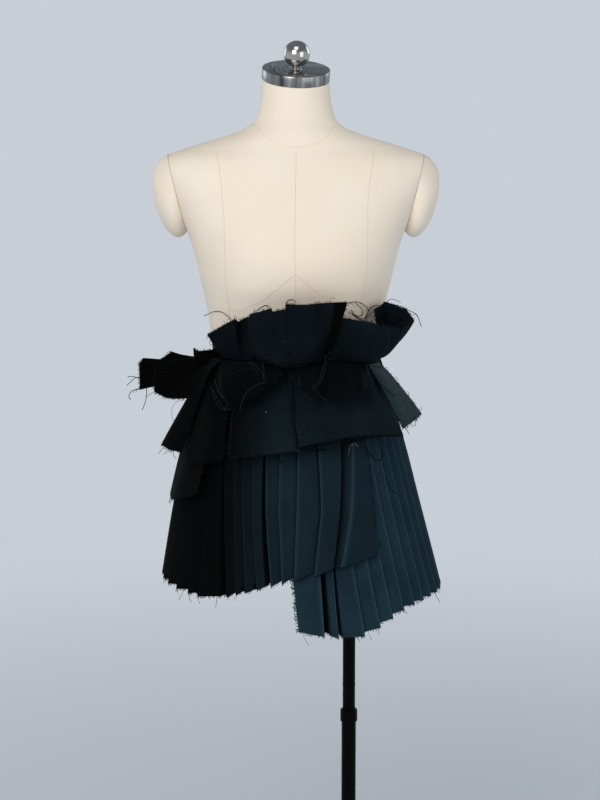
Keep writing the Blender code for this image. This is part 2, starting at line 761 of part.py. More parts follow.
def wave_folds(start, stop, waves, far, near, tip_z, rise):
    """Box-like folds for a ruffle's back: each wave goes out, runs flat and comes in again."""
    folds = []
    pitch = (stop - start) / waves
    for k in range(waves):
        lift = 4.0 * math.sin(k * 1.7)
        for part, out, up in ((0.0, near, rise), (0.3, far, 0.0), (0.7, far, 0.0)):
            angle = start + pitch * (k + part)
            tip = form_point(angle, UPPER_Z, out)
            folds.append(Ruffle(angle, out * 0.2, -out * 0.3, tip.x, tip.y, tip_z + up + lift, 1))
    return folds


def build_waistband(mat):
    """The band next to the form that the tiers and the ruffles are sewn to."""
    bm = bmesh.new()
    half = CLOTH / 2
    levels = [(BAND_OUT - half, BAND_LOW), (BAND_OUT - half, BAND_HIGH)]
    levels += [(BAND_OUT + half, BAND_HIGH), (BAND_OUT + half, BAND_LOW)]
    turns = [360.0 * i / BAND_TURNS for i in range(BAND_TURNS)]
    rings = [[bm.verts.new(place(form_point(a, z, out))) for a in turns] for out, z in levels]
    for one, other in zip(rings, rings[1:] + rings[:1]):
        for i in range(BAND_TURNS):
            j = (i + 1) % BAND_TURNS
            bm.faces.new((one[i], one[j], other[j], other[i]))
    return add_object("waistband", mesh_from(bm, "waistband"), mat)


def build_cloth(navy, satin):
    """All pieces of the skirt."""
    build_waistband(navy)
    build_long_pleats(navy)
    build_short_pleats(navy)
    cloth("hip_layer", tier_columns(HIP_LAYER, 5.0), navy)
    for name, (out, folds) in PEPLUM.items():
        cloth(name, tier_columns(folds, out), navy)
    out, folds = RIGHT_FLAP
    cloth("right_flap", tier_columns(folds, out), satin)
    for name, folds in MIDDLE_RUFFLE.items():
        cloth(name, ruffle_columns(folds, MIDDLE_Z_ROOT), navy)
    start, stop, waves, far, near, tip_z = MIDDLE_BACK
    folds = wave_folds(start, stop, waves, far, near, tip_z, 18)
    cloth("middle_ruffle_back", ruffle_columns(folds, MIDDLE_Z_ROOT), navy)
    for name, folds in UPPER_RUFFLE.items():
        cloth(name, ruffle_columns(folds, UPPER_Z), navy)
    columns = []
    for edge in BOX_FLAP:
        low, high = Vector(edge[:3]), Vector(edge[3:])
        columns.append([low, (low + high) / 2, high])
    cloth("box_flap", columns, navy)


def main():
    for obj in list(bpy.data.objects):
        bpy.data.objects.remove(obj, do_unlink=True)
    parts = bpy.data.collections.new(PART)
    bpy.context.scene.collection.children.link(parts)
    canvas = material("cotton_canvas", (0.83, 0.75, 0.66), 0.85)
    steel = material("polished_steel", (0.62, 0.62, 0.63), 0.3, 1.0)
    black = material("black_enamel", (0.012, 0.012, 0.013), 0.4)
    navy = material("navy_wool", (0.012, 0.018, 0.028), 0.85)
    satin = material("navy_satin_back", (0.025, 0.045, 0.05), 0.6)
    build_torso(canvas)
    for side in (-1, 1):
        build_arm_cap(side, canvas)
    build_neck(steel)
    build_stand(black)
    build_cloth(navy, satin)


main()
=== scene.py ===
# %% [markdown]
# # A mini skirt of raw-edged tiers, worn by a dress form
# The skirt is near-black navy wool, cut and left without hems. Two knife-pleated panels wrap
# round the hips, flat flared panels lie over them as a peplum, and two rows of folded cloth
# stand out from the waist. It is shown on a limbless form with a steel neck cap and a black
# pole. The solids that MuJoCo uses come from the imported frame, and each cloth solid is replaced
# here by a finer sheet that follows the same tables of sizes.

# %% Load the frame
import math
import random
from collections import namedtuple

import bmesh
import bpy
from mathutils import Matrix, Vector, noise
from mathutils.bvhtree import BVHTree


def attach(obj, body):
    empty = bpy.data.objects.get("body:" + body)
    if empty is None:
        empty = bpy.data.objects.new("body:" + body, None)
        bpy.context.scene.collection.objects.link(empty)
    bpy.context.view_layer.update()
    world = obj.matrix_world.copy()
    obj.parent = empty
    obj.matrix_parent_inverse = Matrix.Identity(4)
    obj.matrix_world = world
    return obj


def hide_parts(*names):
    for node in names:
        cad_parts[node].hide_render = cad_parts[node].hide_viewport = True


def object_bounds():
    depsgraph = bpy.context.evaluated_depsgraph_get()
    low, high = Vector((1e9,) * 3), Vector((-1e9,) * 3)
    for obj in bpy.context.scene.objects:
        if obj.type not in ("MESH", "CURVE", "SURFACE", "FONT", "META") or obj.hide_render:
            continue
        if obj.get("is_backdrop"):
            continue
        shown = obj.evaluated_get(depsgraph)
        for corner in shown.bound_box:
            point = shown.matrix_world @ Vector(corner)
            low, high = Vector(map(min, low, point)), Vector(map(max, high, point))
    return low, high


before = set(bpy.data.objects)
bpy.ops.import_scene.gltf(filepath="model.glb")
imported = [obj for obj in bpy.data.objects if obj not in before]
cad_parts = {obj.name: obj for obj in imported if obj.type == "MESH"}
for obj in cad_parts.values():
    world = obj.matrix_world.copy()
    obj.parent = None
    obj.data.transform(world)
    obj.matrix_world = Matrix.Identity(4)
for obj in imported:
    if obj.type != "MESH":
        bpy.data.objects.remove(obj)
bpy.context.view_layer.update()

print("nodes in the frame:", len(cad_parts))

# %% [markdown]
# ## One set of sizes
# Cloth and form are measured in millimetres from the middle of the form's waist: x to the
# viewer's right, y to the back, z up. Angles go round the waist in degrees from the centre
# front, 90 at the viewer's right. One function puts such a point where the frame has it.

# %% Units and the form's place
MM = 0.001
WAIST_Z = 1.020
FORM_X = -0.081
CLOTH = 1.0


def place(point):
    """A point of the form's millimetres, in metres above the floor."""
    return Vector((FORM_X + point[0] * MM, point[1] * MM, WAIST_Z + point[2] * MM))


print("the waist is", WAIST_Z, "m above the floor")

# %% [markdown]
# ## The form's sections
# A dress form is close to a stack of rounded ovals. Each row gives one of them: its height, half
# its width, how far it reaches to the front and to the back, and how square its corners are,
# where 2 is a plain ellipse. A sculpted mesh would be harder to change than these few numbers.

# %% Sections of the form, from the cut below the hips to the neck
Section = namedtuple("Section", "z half_width front back round_power")
FORM_SECTIONS = [
    Section(-215, 150, 88, 104, 2.2),
    Section(-205, 162, 98, 116, 2.2),
    Section(-180, 169, 104, 124, 2.2),
    Section(-130, 162, 101, 117, 2.2),
    Section(-80, 145, 95, 104, 2.2),
    Section(-35, 126, 88, 86, 2.15),
    Section(0, 118, 84, 76, 2.1),
    Section(40, 121, 88, 79, 2.1),
    Section(85, 127, 96, 88, 2.1),
    Section(125, 133, 106, 96, 2.15),
    Section(160, 141, 119, 102, 2.2),
    Section(195, 149, 124, 107, 2.25),
    Section(230, 160, 118, 111, 2.3),
    Section(265, 176, 106, 113, 2.35),
    Section(300, 194, 94, 110, 2.4),
    Section(325, 203, 84, 102, 2.4),
    Section(342, 192, 76, 92, 2.2),
    Section(353, 162, 70, 82, 2.0),
    Section(363, 130, 66, 72, 2.0),
    Section(372, 100, 63, 64, 2.0),
    Section(381, 76, 60, 58, 2.0),
    Section(392, 61, 55, 54, 2.0),
    Section(410, 54, 50, 51, 2.0),
    Section(435, 50, 48, 49, 2.0),
    Section(480, 50, 48, 49, 2.0),
]
print("sections of the form:", len(FORM_SECTIONS))

# %% [markdown]
# ## The skirt's line
# The long pleated panel hangs free of the form, wider and wider towards the hem. The short panel
# lies over it by `over_gap`. The last two columns say how far a pleat stands out and how far its
# tuck reaches back under it. Near the waist the pleats are stitched flat: they hardly stand out
# there, and the tuck, now below zero, no longer reaches under.

# %% The line of the skirt, where its long pleated panel runs
SkirtRow = namedtuple("SkirtRow", "z half_width front back centre_x over_gap pleat_depth tuck")
SKIRT_ROWS = [
    SkirtRow(-350, 214, 178, 170, 14, 10.0, 6.5, 3.4),
    SkirtRow(-290, 202, 168, 160, 11, 9.5, 6.0, 3.0),
    SkirtRow(-165, 176, 145, 136, 5, 8.6, 5.0, 2.4),
    SkirtRow(-75, 156, 122, 112, 2, 7.0, 3.4, 0.6),
    SkirtRow(0, 132, 100, 90, 0, 5.0, 2.0, -1.6),
    SkirtRow(38, 123.5, 90.5, 81.7, 0, 2.7, 0.8, -3.0),
]
SEAM_Z = 38.0
print("the waist seam is", SEAM_Z - SKIRT_ROWS[0].z, "mm above the lowest row")


# %% [markdown]
# ## Reading the tables
# A short table with smooth steps between its rows gives a softer body than many rows of points
# would. `blend_rows` is the usual cubic between neighbours, one column at a time.

# %% Smooth and straight steps between rows
def blend_rows(rows, z):
    """The row of a table at height z, each column smoothed between its neighbours."""
    rows = sorted(rows)
    z = min(max(z, rows[0].z), rows[-1].z)
    k = max(i for i in range(len(rows) - 1) if rows[i].z <= z)
    a, b = rows[k], rows[k + 1]
    before = rows[k - 1] if k else a
    after = rows[k + 2] if k + 2 < len(rows) else b
    span = b.z - a.z
    t = (z - a.z) / span
    values = [z]
    for i in range(1, len(a)):
        slope_a = (b[i] - before[i]) / (b.z - before.z) * span
        slope_b = (after[i] - a[i]) / (after.z - a.z) * span
        values.append(
            (2 * t**3 - 3 * t**2 + 1) * a[i]
            + (t**3 - 2 * t**2 + t) * slope_a
            + (3 * t**2 - 2 * t**3) * b[i]
            + (t**3 - t**2) * slope_b
        )
    return type(a)(*values)


def straight_rows(pairs, key):
    """The value at a key in a table of (key, value) pairs, in straight steps."""
    if key <= pairs[0][0]:
        return pairs[0][1]
    for (k0, v0), (k1, v1) in zip(pairs, pairs[1:]):
        if key <= k1:
            return v0 + (v1 - v0) * (key - k0) / (k1 - k0)
    return pairs[-1][1]


print("the form's front at the bust:", round(blend_rows(FORM_SECTIONS, 195).front), "mm")


# %% [markdown]
# ## Points by angle and height
# Everything on the form is placed by an angle and a height, as a tape measure would do it. The
# form's section is a superellipse. The skirt's is a plain ellipse, whose middle drifts to one
# side on its way down.


# %% Points on the form and on the skirt
def form_point(degrees, z, out=0.0):
    """A point on the form's surface, or that far outside it."""
    row = blend_rows(FORM_SECTIONS, z)
    angle = math.radians(degrees)
    side, depth = math.sin(angle), -math.cos(angle)
    reach = row.front if depth < 0 else row.back
    power = 2.0 / row.round_power
    x = math.copysign(abs(side) ** power, side) * (row.half_width + out)
    y = math.copysign(abs(depth) ** power, depth) * (reach + out)
    return Vector((x, y, z))


def skirt_point(degrees, z, out=0.0):
    """A point on the skirt's line, or that far outside it."""
    row = blend_rows(SKIRT_ROWS, z)
    angle = math.radians(degrees)
    side, depth = math.sin(angle), -math.cos(angle)
    reach = row.front if depth < 0 else row.back
    return Vector((row.centre_x + side * (row.half_width + out), depth * (reach + out), z))


print("waist half width:", round(form_point(90, 0).x), "mm")

# %% [markdown]
# ## Colours and a node helper
# A photograph's colours are sRGB, and the shader works on linear light, so one function turns a
# hex value into linear. One more adds any kind of node, with its settings and its links.


# %% Colour and node helpers
def linear(hex_value):
    """An sRGB hex colour as linear RGBA."""
    parts = [int(hex_value[i : i + 2], 16) / 255 for i in (0, 2, 4)]
    return [p / 12.92 if p <= 0.04045 else ((p + 0.055) / 1.055) ** 2.4 for p in parts] + [1.0]


def new_material(name, **sockets):
    """A Principled material; keywords are socket names with _ for a space."""
    mat = bpy.data.materials.new(name)
    mat.use_nodes = True
    shader = mat.node_tree.nodes["Principled BSDF"]
    for key, value in sockets.items():
        shader.inputs[key.replace("_", " ")].default_value = value
    return mat


def add_node(mat, kind, links=None, stops=(), **settings):
    """One node: settings, inputs as values or links from (node, output), and a ramp's stops."""
    node = mat.node_tree.nodes.new(kind)
    for key, value in settings.items():
        setattr(node, key, value)
    for key, value in (links or {}).items():
        if isinstance(value, tuple) and isinstance(value[0], bpy.types.Node):
            mat.node_tree.links.new(value[0].outputs[value[1]], node.inputs[key])
        else:
            node.inputs[key].default_value = value
    for index, (position, colour) in enumerate(stops):
        marks = node.color_ramp.elements
        mark = marks[index] if index < len(marks) else marks.new(position)
        mark.position = position
        mark.color = colour
    return node


def into_shader(mat, socket, source):
    """Link a node's output to the material's shader."""
    shader = mat.node_tree.nodes["Principled BSDF"]
    mat.node_tree.links.new(source[0].outputs[source[1]], shader.inputs[socket])


print("mid grey in linear light:", round(linear("808080")[0], 3))


# %% [markdown]
# ## Finished pieces
# Each piece is one object at the origin. It rides on the part's only body, wears its material, and
# stands for the CAD nodes that it replaces. Its mesh is shaded smooth and only steep edges stay
# crisp, so few faces look like a round surface.


# %% Pieces and their meshes
CRISP_FROM, TURNED_CRISP_FROM = 40, 30


def add_piece(name, mesh, mat, stands_for=()):
    """A finished piece: it rides on the only body and may stand for CAD nodes."""
    piece = bpy.data.objects.new(name, mesh)
    mesh.materials.append(mat)
    bpy.context.scene.collection.objects.link(piece)
    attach(piece, "root")
    if stands_for:
        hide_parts(*stands_for)
    return piece


def mesh_of(bm, name, sharp=CRISP_FROM):
    """The bmesh as a smooth mesh whose steep edges stay crisp."""
    mesh = bpy.data.meshes.new(name)
    bm.to_mesh(mesh)
    bm.free()
    mesh.shade_smooth()
    mesh.set_sharp_from_angle(angle=math.radians(sharp))
    return mesh


print("edges stay crisp from", CRISP_FROM, "degrees, turned ones from", TURNED_CRISP_FROM)


# %% [markdown]
# ## Cloth as a grid
# A sheet of cloth bends but hardly stretches. So a piece is described by columns of points, like
# strips cut side by side, and one flat grid is moved onto them. Its UV map is in metres of cloth,
# so the weave keeps its size and follows each fold. A number on each column paints light and
# shade:
# a pale line of painted highlight on a fold above 0, painted shade inside a fold below 0.


# %% A grid moved onto columns
def bent_grid(bm, columns):
    """A flat grid whose points are moved to their places in the columns."""
    across, down = len(columns), len(columns[0])
    grid = bmesh.ops.create_grid(bm, x_segments=across - 1, y_segments=down - 1, size=1.0)
    for index, vert in enumerate(grid["verts"]):
        vert.co = place(columns[index % across][index // across])
    return grid["verts"]


def cloth_lengths(columns):
    """Metres of cloth to each column, and down each column to each of its points."""
    middle = len(columns[0]) // 2
    widths = [0.0]
    for a, b in zip(columns, columns[1:]):
        widths.append(widths[-1] + (b[middle] - a[middle]).length * MM)
    heights = []
    for column in columns:
        run = [0.0]
        for a, b in zip(column, column[1:]):
            run.append(run[-1] + (b - a).length * MM)
        heights.append(run)
    return widths, heights


front = [form_point(0, z) for z in range(-200, 351, 50)]
print("centre front, hip to neck:", round(cloth_lengths([front, front])[1][0][-1], 3), "m")


# %% [markdown]
# ## The sheet itself
# Each sheet also leaves a search tree of its faces in SURFACES, which lets the loose threads find
# the cloth that they lie on. A band that goes all the way round has its two ends merged.

# %% A sheet of cloth
SURFACES = {}


def sheet_mesh(name, columns, pressed, closed):
    """The columns as a mesh, with a UV map in metres of cloth and its painted fold light and
    shade.
    """
    across = len(columns)
    bm = bmesh.new()
    # The pressed layer carries the painted fold light and shade.
    crease = bm.verts.layers.float.new("pressed")
    for index, vert in enumerate(bent_grid(bm, columns)):
        vert[crease] = pressed.get(index % across, 0.0)
    widths, heights = cloth_lengths(columns)
    uv = bm.loops.layers.uv.new("cloth")
    bm.verts.index_update()
    for face in bm.faces:
        for loop in face.loops:
            column, row = loop.vert.index % across, loop.vert.index // across
            loop[uv].uv = (widths[column], heights[column][row])
    if closed:
        bmesh.ops.remove_doubles(bm, verts=bm.verts, dist=1e-6)
    SURFACES[name] = BVHTree.FromBMesh(bm)
    return mesh_of(bm, name)


print("wall of a sheet:", CLOTH, "mm")


# %% [markdown]
# ## Threads
# A loose yarn could be a swept mesh, but a poly curve with a small bevel is lighter and easier to
# lay, and many of them share one object. Four sides are enough for anything so thin.

# %% Threads as one curve
THREAD_ROUNDNESS = 0


def threads(name, paths, diameter, mat):
    """Fine threads as one curve; each path is a row of points in the form's millimetres."""
    curve = bpy.data.curves.new(name, "CURVE")
    curve.dimensions = "3D"
    curve.bevel_depth = diameter * MM / 2
    curve.bevel_resolution = THREAD_ROUNDNESS
    curve.use_fill_caps = True
    for path in paths:
        spline = curve.splines.new("POLY")
        spline.points.add(len(path) - 1)
        for point, spot in zip(spline.points, path):
            point.co = (*place(spot), 1.0)
    return add_piece(name, curve, mat)


print("bevel resolution of a thread:", THREAD_ROUNDNESS)


# %% [markdown]
# ## Frayed edges
# Where wool is cut and left raw, ends of yarn slip out and stand off the edge: most are short, a
# few are long. Hair particles would do it too, but they aren't plain geometry. Each side has a
# seed of its own, so every run gives the same ends.


# %% Yarn ends along a raw edge
def frayed_ends(seed, row, pitch, longest, strays):
    """Paths of yarn ends along an edge, given as (point, direction off the cloth)."""
    chance = random.Random(seed)
    paths = []
    for (a, off_a), (b, off_b) in zip(row, row[1:]):
        wanted = (b - a).length / pitch
        for _ in range(int(wanted) + (chance.random() < wanted % 1.0)):
            t = chance.random()
            spot = a.lerp(b, t)
            off = off_a.lerp(off_b, t).normalized()
            along = (b - a).normalized() * chance.uniform(-0.9, 0.9)
            lift = Vector((0.0, -1.0, 0.0)) * chance.uniform(-0.3, 0.5)
            length = longest * chance.uniform(0.2, 1.0) ** 2
            if chance.random() < strays:
                length = chance.uniform(1.8, 3.6) * longest
            half = spot + (off + along * 0.6 + lift * 0.5) * length * 0.5
            end = spot + (off * 0.8 + along + lift) * length - Vector((0, 0, 0.02 * length**2))
            paths.append([spot - off * 0.8, half, end])
    return paths


def fray(name, columns, sides, mat, pitch=1.1, longest=4.2, strays=0.03, diameter=0.65):
    """The yarn ends along the raw sides of a sheet, as one curve."""
    rows = {
        "start": [(c[0], c[0] - c[1]) for c in columns],
        "end": [(c[-1], c[-1] - c[-2]) for c in columns],
        "first": [(p, p - q) for p, q in zip(columns[0], columns[1])],
        "last": [(p, p - q) for p, q in zip(columns[-1], columns[-2])],
    }
    paths = []
    for side in sides:
        paths += frayed_ends(name + side, rows[side], pitch, longest, strays)
    return threads(name, paths, diameter, mat)


trial = [(Vector((x, 0.0, 0.0)), Vector((0.0, 0.0, -1.0))) for x in (0.0, 100.0)]
print("yarn ends on 100 mm of raw edge:", len(frayed_ends("trial", trial, 1.1, 4.2, 0.03)))

# %% [markdown]
# ## Area and thickness
# Each piece prints the area of its sheet and its count of triangles. Every piece is finished
# alike:
# Solidify gives the sheet its thickness, even at the folds, weighted normals keep the flat faces
# flat, and the raw sides get their yarn ends.


def cloth_piece(name, columns, mat, raw=(), pressed=None, closed=False):
    """One sheet of cloth in place of its CAD solid: a wall with smooth faces and frayed edges."""
    mesh = sheet_mesh(name + "_cloth", columns, pressed or {}, closed)
    area = sum(p.area for p in mesh.polygons)
    piece = add_piece(name + "_cloth", mesh, mat, [name])
    wall = piece.modifiers.new("wall", "SOLIDIFY")
    wall.thickness = CLOTH * MM
    wall.offset = 0.0
    wall.use_even_offset = True
    wall.thickness_clamp = 0.0
    evened = piece.modifiers.new("evened", "WEIGHTED_NORMAL")
    evened.keep_sharp = True
    ends = [fray(name + "_fray", columns, raw, THREAD)] if raw else []
    print(name, "covers", round(area, 4), "m2, triangles", 4 * len(mesh.polygons))
    return piece


# %% [markdown]
# ## Soft creases
# No cut piece hangs quite smooth. A slow noise moves each point along the cloth's own normal. It
# fades out over the first rows, because the seam holds the cloth there.

# %% Soft creases
CREASE_DOWN = 0.07
HELD_ROWS = 6


def rumpled(columns, amount, seed, grain=0.11):
    """The columns with soft creases that start at the seam and grow towards the free edge."""
    moved = []
    last = len(columns) - 1
    for i, column in enumerate(columns):
        left, right = columns[max(i - 1, 0)], columns[min(i + 1, last)]
        spots = []
        for k, point in enumerate(column):
            before, after = column[max(k - 1, 0)], column[min(k + 1, len(column) - 1)]
            face = (right[k] - left[k]).cross(after - before).normalized()
            crease = noise.noise(Vector((i * grain, k * CREASE_DOWN, seed)))
            spots.append(point + face * amount * crease * min(k / HELD_ROWS, 1.0))
        moved.append(spots)
    return moved


print("rows held by the seam:", HELD_ROWS)

# %% [markdown]
# ## The weave of the wool
# The cloth is one wool suiting with a fine crosswise rib, woven from yarn of mixed tones. The rib
# is a wave along the cloth's own length, read from its UV map, so it follows each fold. Fine
# noise gives the single fibres and slow noise the worn patches, and both shift the tone.

# %% The weave
# At a scale of 1, one band of a wave is 0.314 of a unit wide.
WAVE_BAND = 0.314
RIB_UNIT_MM = 10.8


def woven_tone(mat, spot, dark, light):
    """The weave as nodes: its colour, its rib and its fibres."""
    uv = add_node(mat, "ShaderNodeUVMap", uv_map="cloth")
    each = 1.0 / (RIB_UNIT_MM * MM)
    along = add_node(mat, "ShaderNodeMapping", {"Vector": (uv, "UV"), "Scale": (each, each, each)})
    # The real rib is well under a millimetre. It is drawn at 3.4 mm, so that the render shows it.
    rib = add_node(
        mat, "ShaderNodeTexWave",
        {"Vector": (along, "Vector"), "Scale": 1.0,
         "Distortion": 1.6, "Detail": 2.0, "Detail Scale": 1.5},
        wave_type="BANDS", bands_direction="Y",
    )
    # Fibres of about 1.6 mm, coarser than real ones too, and worn patches of about 90 mm.
    fibre = add_node(
        mat, "ShaderNodeTexNoise",
        {"Vector": (spot, "Object"), "Scale": 620.0, "Detail": 3.0, "Roughness": 0.7},
    )
    worn = add_node(
        mat, "ShaderNodeTexNoise", {"Vector": (spot, "Object"), "Scale": 11.0, "Detail": 3.0},
    )
    tones = add_node(mat, "ShaderNodeMath", {0: (fibre, "Fac"), 1: (worn, "Fac")}, operation="ADD")
    ribs = add_node(
        mat, "ShaderNodeMath", {0: (rib, "Fac"), 1: 0.16, 2: (tones, "Value")},
        operation="MULTIPLY_ADD",
    )
    spread = add_node(mat, "ShaderNodeMath", {0: (ribs, "Value"), 1: 0.46}, operation="MULTIPLY")
    colour = add_node(
        mat, "ShaderNodeValToRGB", {"Fac": (spread, "Value")},
        [(0.36, linear(dark)), (0.64, linear(light))],
    )
    return colour, rib, fibre


print("rib:", round(RIB_UNIT_MM * WAVE_BAND, 1), "mm")

# %% [markdown]
# ## Painted fold light and side shade
# A paler line on each fold is a painted highlight on its ridge, and the inside of a fold gets
# painted shade. So does the wearer's right side, at the viewer's left. The lines and the fold
# shade come from the number on the sheet's columns, the side shade from where a point is.

# %% Painted fold light and side shade
# Painted shade on the wearer's right side: full left of the first x and gone right of the second.
SIDE_SHADE_FROM = -0.200
SIDE_SHADE_TO = -0.080


def painted_fold_light(mat, colour, pressed):
    """The colour with a painted highlight on each fold, and the painted shade inside a fold."""
    # The pressed number paints light: a highlight above 0, shade below 0.
    line = add_node(mat, "ShaderNodeAttribute", attribute_name="pressed")
    edge = add_node(mat, "ShaderNodeMath", {0: (line, "Fac"), 1: 0.0}, operation="MAXIMUM")
    sharp = add_node(mat, "ShaderNodeMath", {0: (edge, "Value"), 1: 2.0}, operation="POWER")
    fold_highlight = add_node(
        mat, "ShaderNodeMix", {0: (sharp, "Value"), 6: (colour, "Color"), 7: linear(pressed)},
        data_type="RGBA",
    )
    fold_shade = add_node(
        mat, "ShaderNodeMapRange",
        {"Value": (line, "Fac"), "From Min": -1.0, "From Max": 0.0, "To Min": 0.05, "To Max": 1.0},
    )
    return fold_highlight, fold_shade


def painted_side_shade(mat, spot, brushed):
    """Painted shade on the wearer's right side, from its full depth to none on the other side."""
    parts = add_node(mat, "ShaderNodeSeparateXYZ", {"Vector": (spot, "Object")})
    return add_node(
        mat, "ShaderNodeMapRange",
        {"Value": (parts, "X"), "From Min": SIDE_SHADE_FROM, "From Max": SIDE_SHADE_TO, "To Min": brushed},
        interpolation_type="SMOOTHSTEP",
    )


# How wide the painted side shade fades out.
print("brushed nap fades out over", round(SIDE_SHADE_TO - SIDE_SHADE_FROM, 2), "m")


# %% [markdown]
# ## Six tones of one wool
# Wool is matt, with a thin sheen of standing fibres. Five are lighter and darker copies of one
# face, with light and shade painted into their tones, and the sixth is the satin side.


# %% Wool suiting
# brushed sets how much light the painted side shade leaves, pressed the colour of the painted fold
# highlight.
def wool(name, dark, light, pressed, roughness=0.95, gloss=0.06, brushed=0.06):
    """Wool suiting: crosswise rib, fibres of mixed tone, a painted highlight on each fold, and
    painted shade inside folds and on one side.
    """
    mat = new_material(
        name, Roughness=roughness, Sheen_Weight=0.015, Sheen_Roughness=0.5,
        Sheen_Tint=linear("6f8fa0"), Specular_IOR_Level=gloss,
    )
    spot = add_node(mat, "ShaderNodeTexCoord")
    colour, rib, fibre = woven_tone(mat, spot, dark, light)
    fold_highlight, fold_shade = painted_fold_light(mat, colour, pressed)
    # The nap here is painted shade on the wearer's right side.
    nap = painted_side_shade(mat, spot, brushed)
    both = add_node(
        mat, "ShaderNodeMath", {0: (nap, "Result"), 1: (fold_shade, "Result")}, operation="MULTIPLY",
    )
    toned = add_node(
        mat, "ShaderNodeVectorMath", {0: (fold_highlight, 2), "Scale": (both, "Value")}, operation="SCALE",
    )
    into_shader(mat, "Base Color", (toned, "Vector"))
    surface = add_node(
        mat, "ShaderNodeMath", {0: (rib, "Fac"), 1: (fibre, "Fac")}, operation="ADD",
    )
    bump = add_node(
        mat, "ShaderNodeBump", {"Height": (surface, "Value"), "Strength": 0.4, "Distance": 0.0004},
    )
    into_shader(mat, "Normal", (bump, "Normal"))
    return mat


# Long panel, pressed hard: the lit copy, painted palest so the navy shows, a line on each fold.
PLEAT_WOOL = wool("pressed_wool_suiting", "11212a", "1e343f", "294451")
# Short panel, pressed: a copy with painted shade, darker, and softer between the lines.
OVER_WOOL = wool("shaded_pressed_wool", "0c181e", "17272f", "223742")
# The flat layers: near black, with the rib still to be seen in a side light.
PEPLUM_WOOL = wool("flat_wool_suiting", "060e13", "142026", "1b2a32")
# Painted shade for the deep folds of the lower row: near black, with hardly any blue.
SHADED_RUFFLE_WOOL = wool("shaded_wool_suiting", "010407", "040a0f", "0b161d")
# The upper row's copy: lighter, with painted light where the window reaches it, and less side
# shade.
LIT_RIM_WOOL = wool("lit_wool_suiting", "050b10", "101a21", "192730", brushed=0.7)
# The satin side floats its yarns, so it is smoother, greyer and has a low gloss.
SATIN = wool("satin_back_wool", "142429", "1e3338", "2b434a", 0.7, 0.2)
WOOLS = (PLEAT_WOOL, OVER_WOOL, PEPLUM_WOOL, SHADED_RUFFLE_WOOL, LIT_RIM_WOOL, SATIN)
print("wools:", [m.name for m in WOOLS])


# %% [markdown]
# ## Yarn and cotton
# Yarn ends are single-ply wool, stitches and seams are cotton. A thread is too thin to show its
# twist, so each is one tone with a slight mottle, which one noise gives to colour and bump.


# %% Yarn and cotton
def grained(mat, colours, scale, strength, distance, vector=None):
    """A noise in colour and bump on a material, from one shared source."""
    source = vector or (add_node(mat, "ShaderNodeTexCoord"), "Object")
    grain = add_node(
        mat, "ShaderNodeTexNoise",
        {"Vector": source, "Scale": scale, "Detail": 4.0, "Roughness": 0.6},
    )
    tone = add_node(
        mat, "ShaderNodeValToRGB", {"Fac": (grain, "Fac")},
        [(0.35, linear(colours[0])), (0.65, linear(colours[1]))],
    )
    into_shader(mat, "Base Color", (tone, "Color"))
    bump = add_node(
        mat, "ShaderNodeBump",
        {"Height": (grain, "Fac"), "Strength": strength, "Distance": distance},
    )
    into_shader(mat, "Normal", (bump, "Normal"))


# Wool yarn drawn out of the cloth: matt and nearly black.
THREAD = new_material("wool_yarn", Roughness=0.9, Specular_IOR_Level=0.1)
grained(THREAD, ("010204", "080f14"), 300.0, 0.2, 0.0002)
# Bleached basting cotton gone dull: pale grey specks on the dark wool.
PALE_THREAD = new_material("basting_cotton", Roughness=0.85)
grained(PALE_THREAD, ("5c696c", "9aa6a6"), 400.0, 0.2, 0.0002)
# Wool yarn rubbed bare of its nap: a dull grey, just lighter than the cloth.
GREY_THREAD = new_material("worn_wool_yarn", Roughness=0.9)
grained(GREY_THREAD, ("0e171c", "1f2c33"), 400.0, 0.2, 0.0002)
# The selvedge's undyed yarn: a greenish grey, so the fringe stands out.
SELVEDGE = new_material("selvedge_yarn", Roughness=0.85)
grained(SELVEDGE, ("26332f", "62776e"), 400.0, 0.2, 0.0002)
# Seam cotton in the cover: a little browner than it, so a seam is a soft fine line.
SEAM = new_material("form_seam_cotton", Roughness=0.85)
grained(SEAM, ("d5c0ae", "dfcdbd"), 200.0, 0.2, 0.0002)
# The armhole's thicker cord: browner still, with the shade of the seam in it.
ARM_SEAM = new_material("armhole_seam_cotton", Roughness=0.85)
grained(ARM_SEAM, ("b18c74", "c4a48d"), 200.0, 0.2, 0.0002)
print("yarns and cottons: 6")

# %% [markdown]
# ## The form's cover
# The cover is unbleached cotton jersey, stretched over foam. It is matt and warm white, with a
# fine even knit, faint stains and some fuzz. Slow noise tints it. A level wave for the knit and
# a fine noise for the fuzz are added up to one small bump.

# %% The form's cover
CANVAS = new_material("cotton_jersey_cover", Roughness=0.85, Specular_IOR_Level=0.3)
where = add_node(CANVAS, "ShaderNodeTexCoord")
stains = add_node(
    CANVAS, "ShaderNodeTexNoise", {"Vector": (where, "Object"), "Scale": 7.0, "Detail": 2.0},
)
cover = add_node(
    CANVAS, "ShaderNodeValToRGB", {"Fac": (stains, "Fac")},
    [(0.35, linear("e3d8c6")), (0.65, linear("e8dfd0"))],
)
into_shader(CANVAS, "Base Color", (cover, "Color"))
# Knit rows are about 0.5 mm; drawn at 1.5 mm so that they show. A wave band is 0.314 units.
knit = add_node(
    CANVAS, "ShaderNodeTexWave",
    {"Vector": (where, "Object"), "Scale": 209.0, "Distortion": 1.0, "Detail": 1.0},
    wave_type="BANDS", bands_direction="Z",
)
fuzz = add_node(
    CANVAS, "ShaderNodeTexNoise", {"Vector": (where, "Object"), "Scale": 700.0, "Detail": 3.0},
)
both = add_node(CANVAS, "ShaderNodeMath", {0: (knit, "Fac"), 1: (fuzz, "Fac")}, operation="ADD")
relief = add_node(
    CANVAS, "ShaderNodeBump", {"Height": (both, "Value"), "Strength": 0.25, "Distance": 0.0002},
)
into_shader(CANVAS, "Normal", (relief, "Normal"))
print("cover:", CANVAS.name)
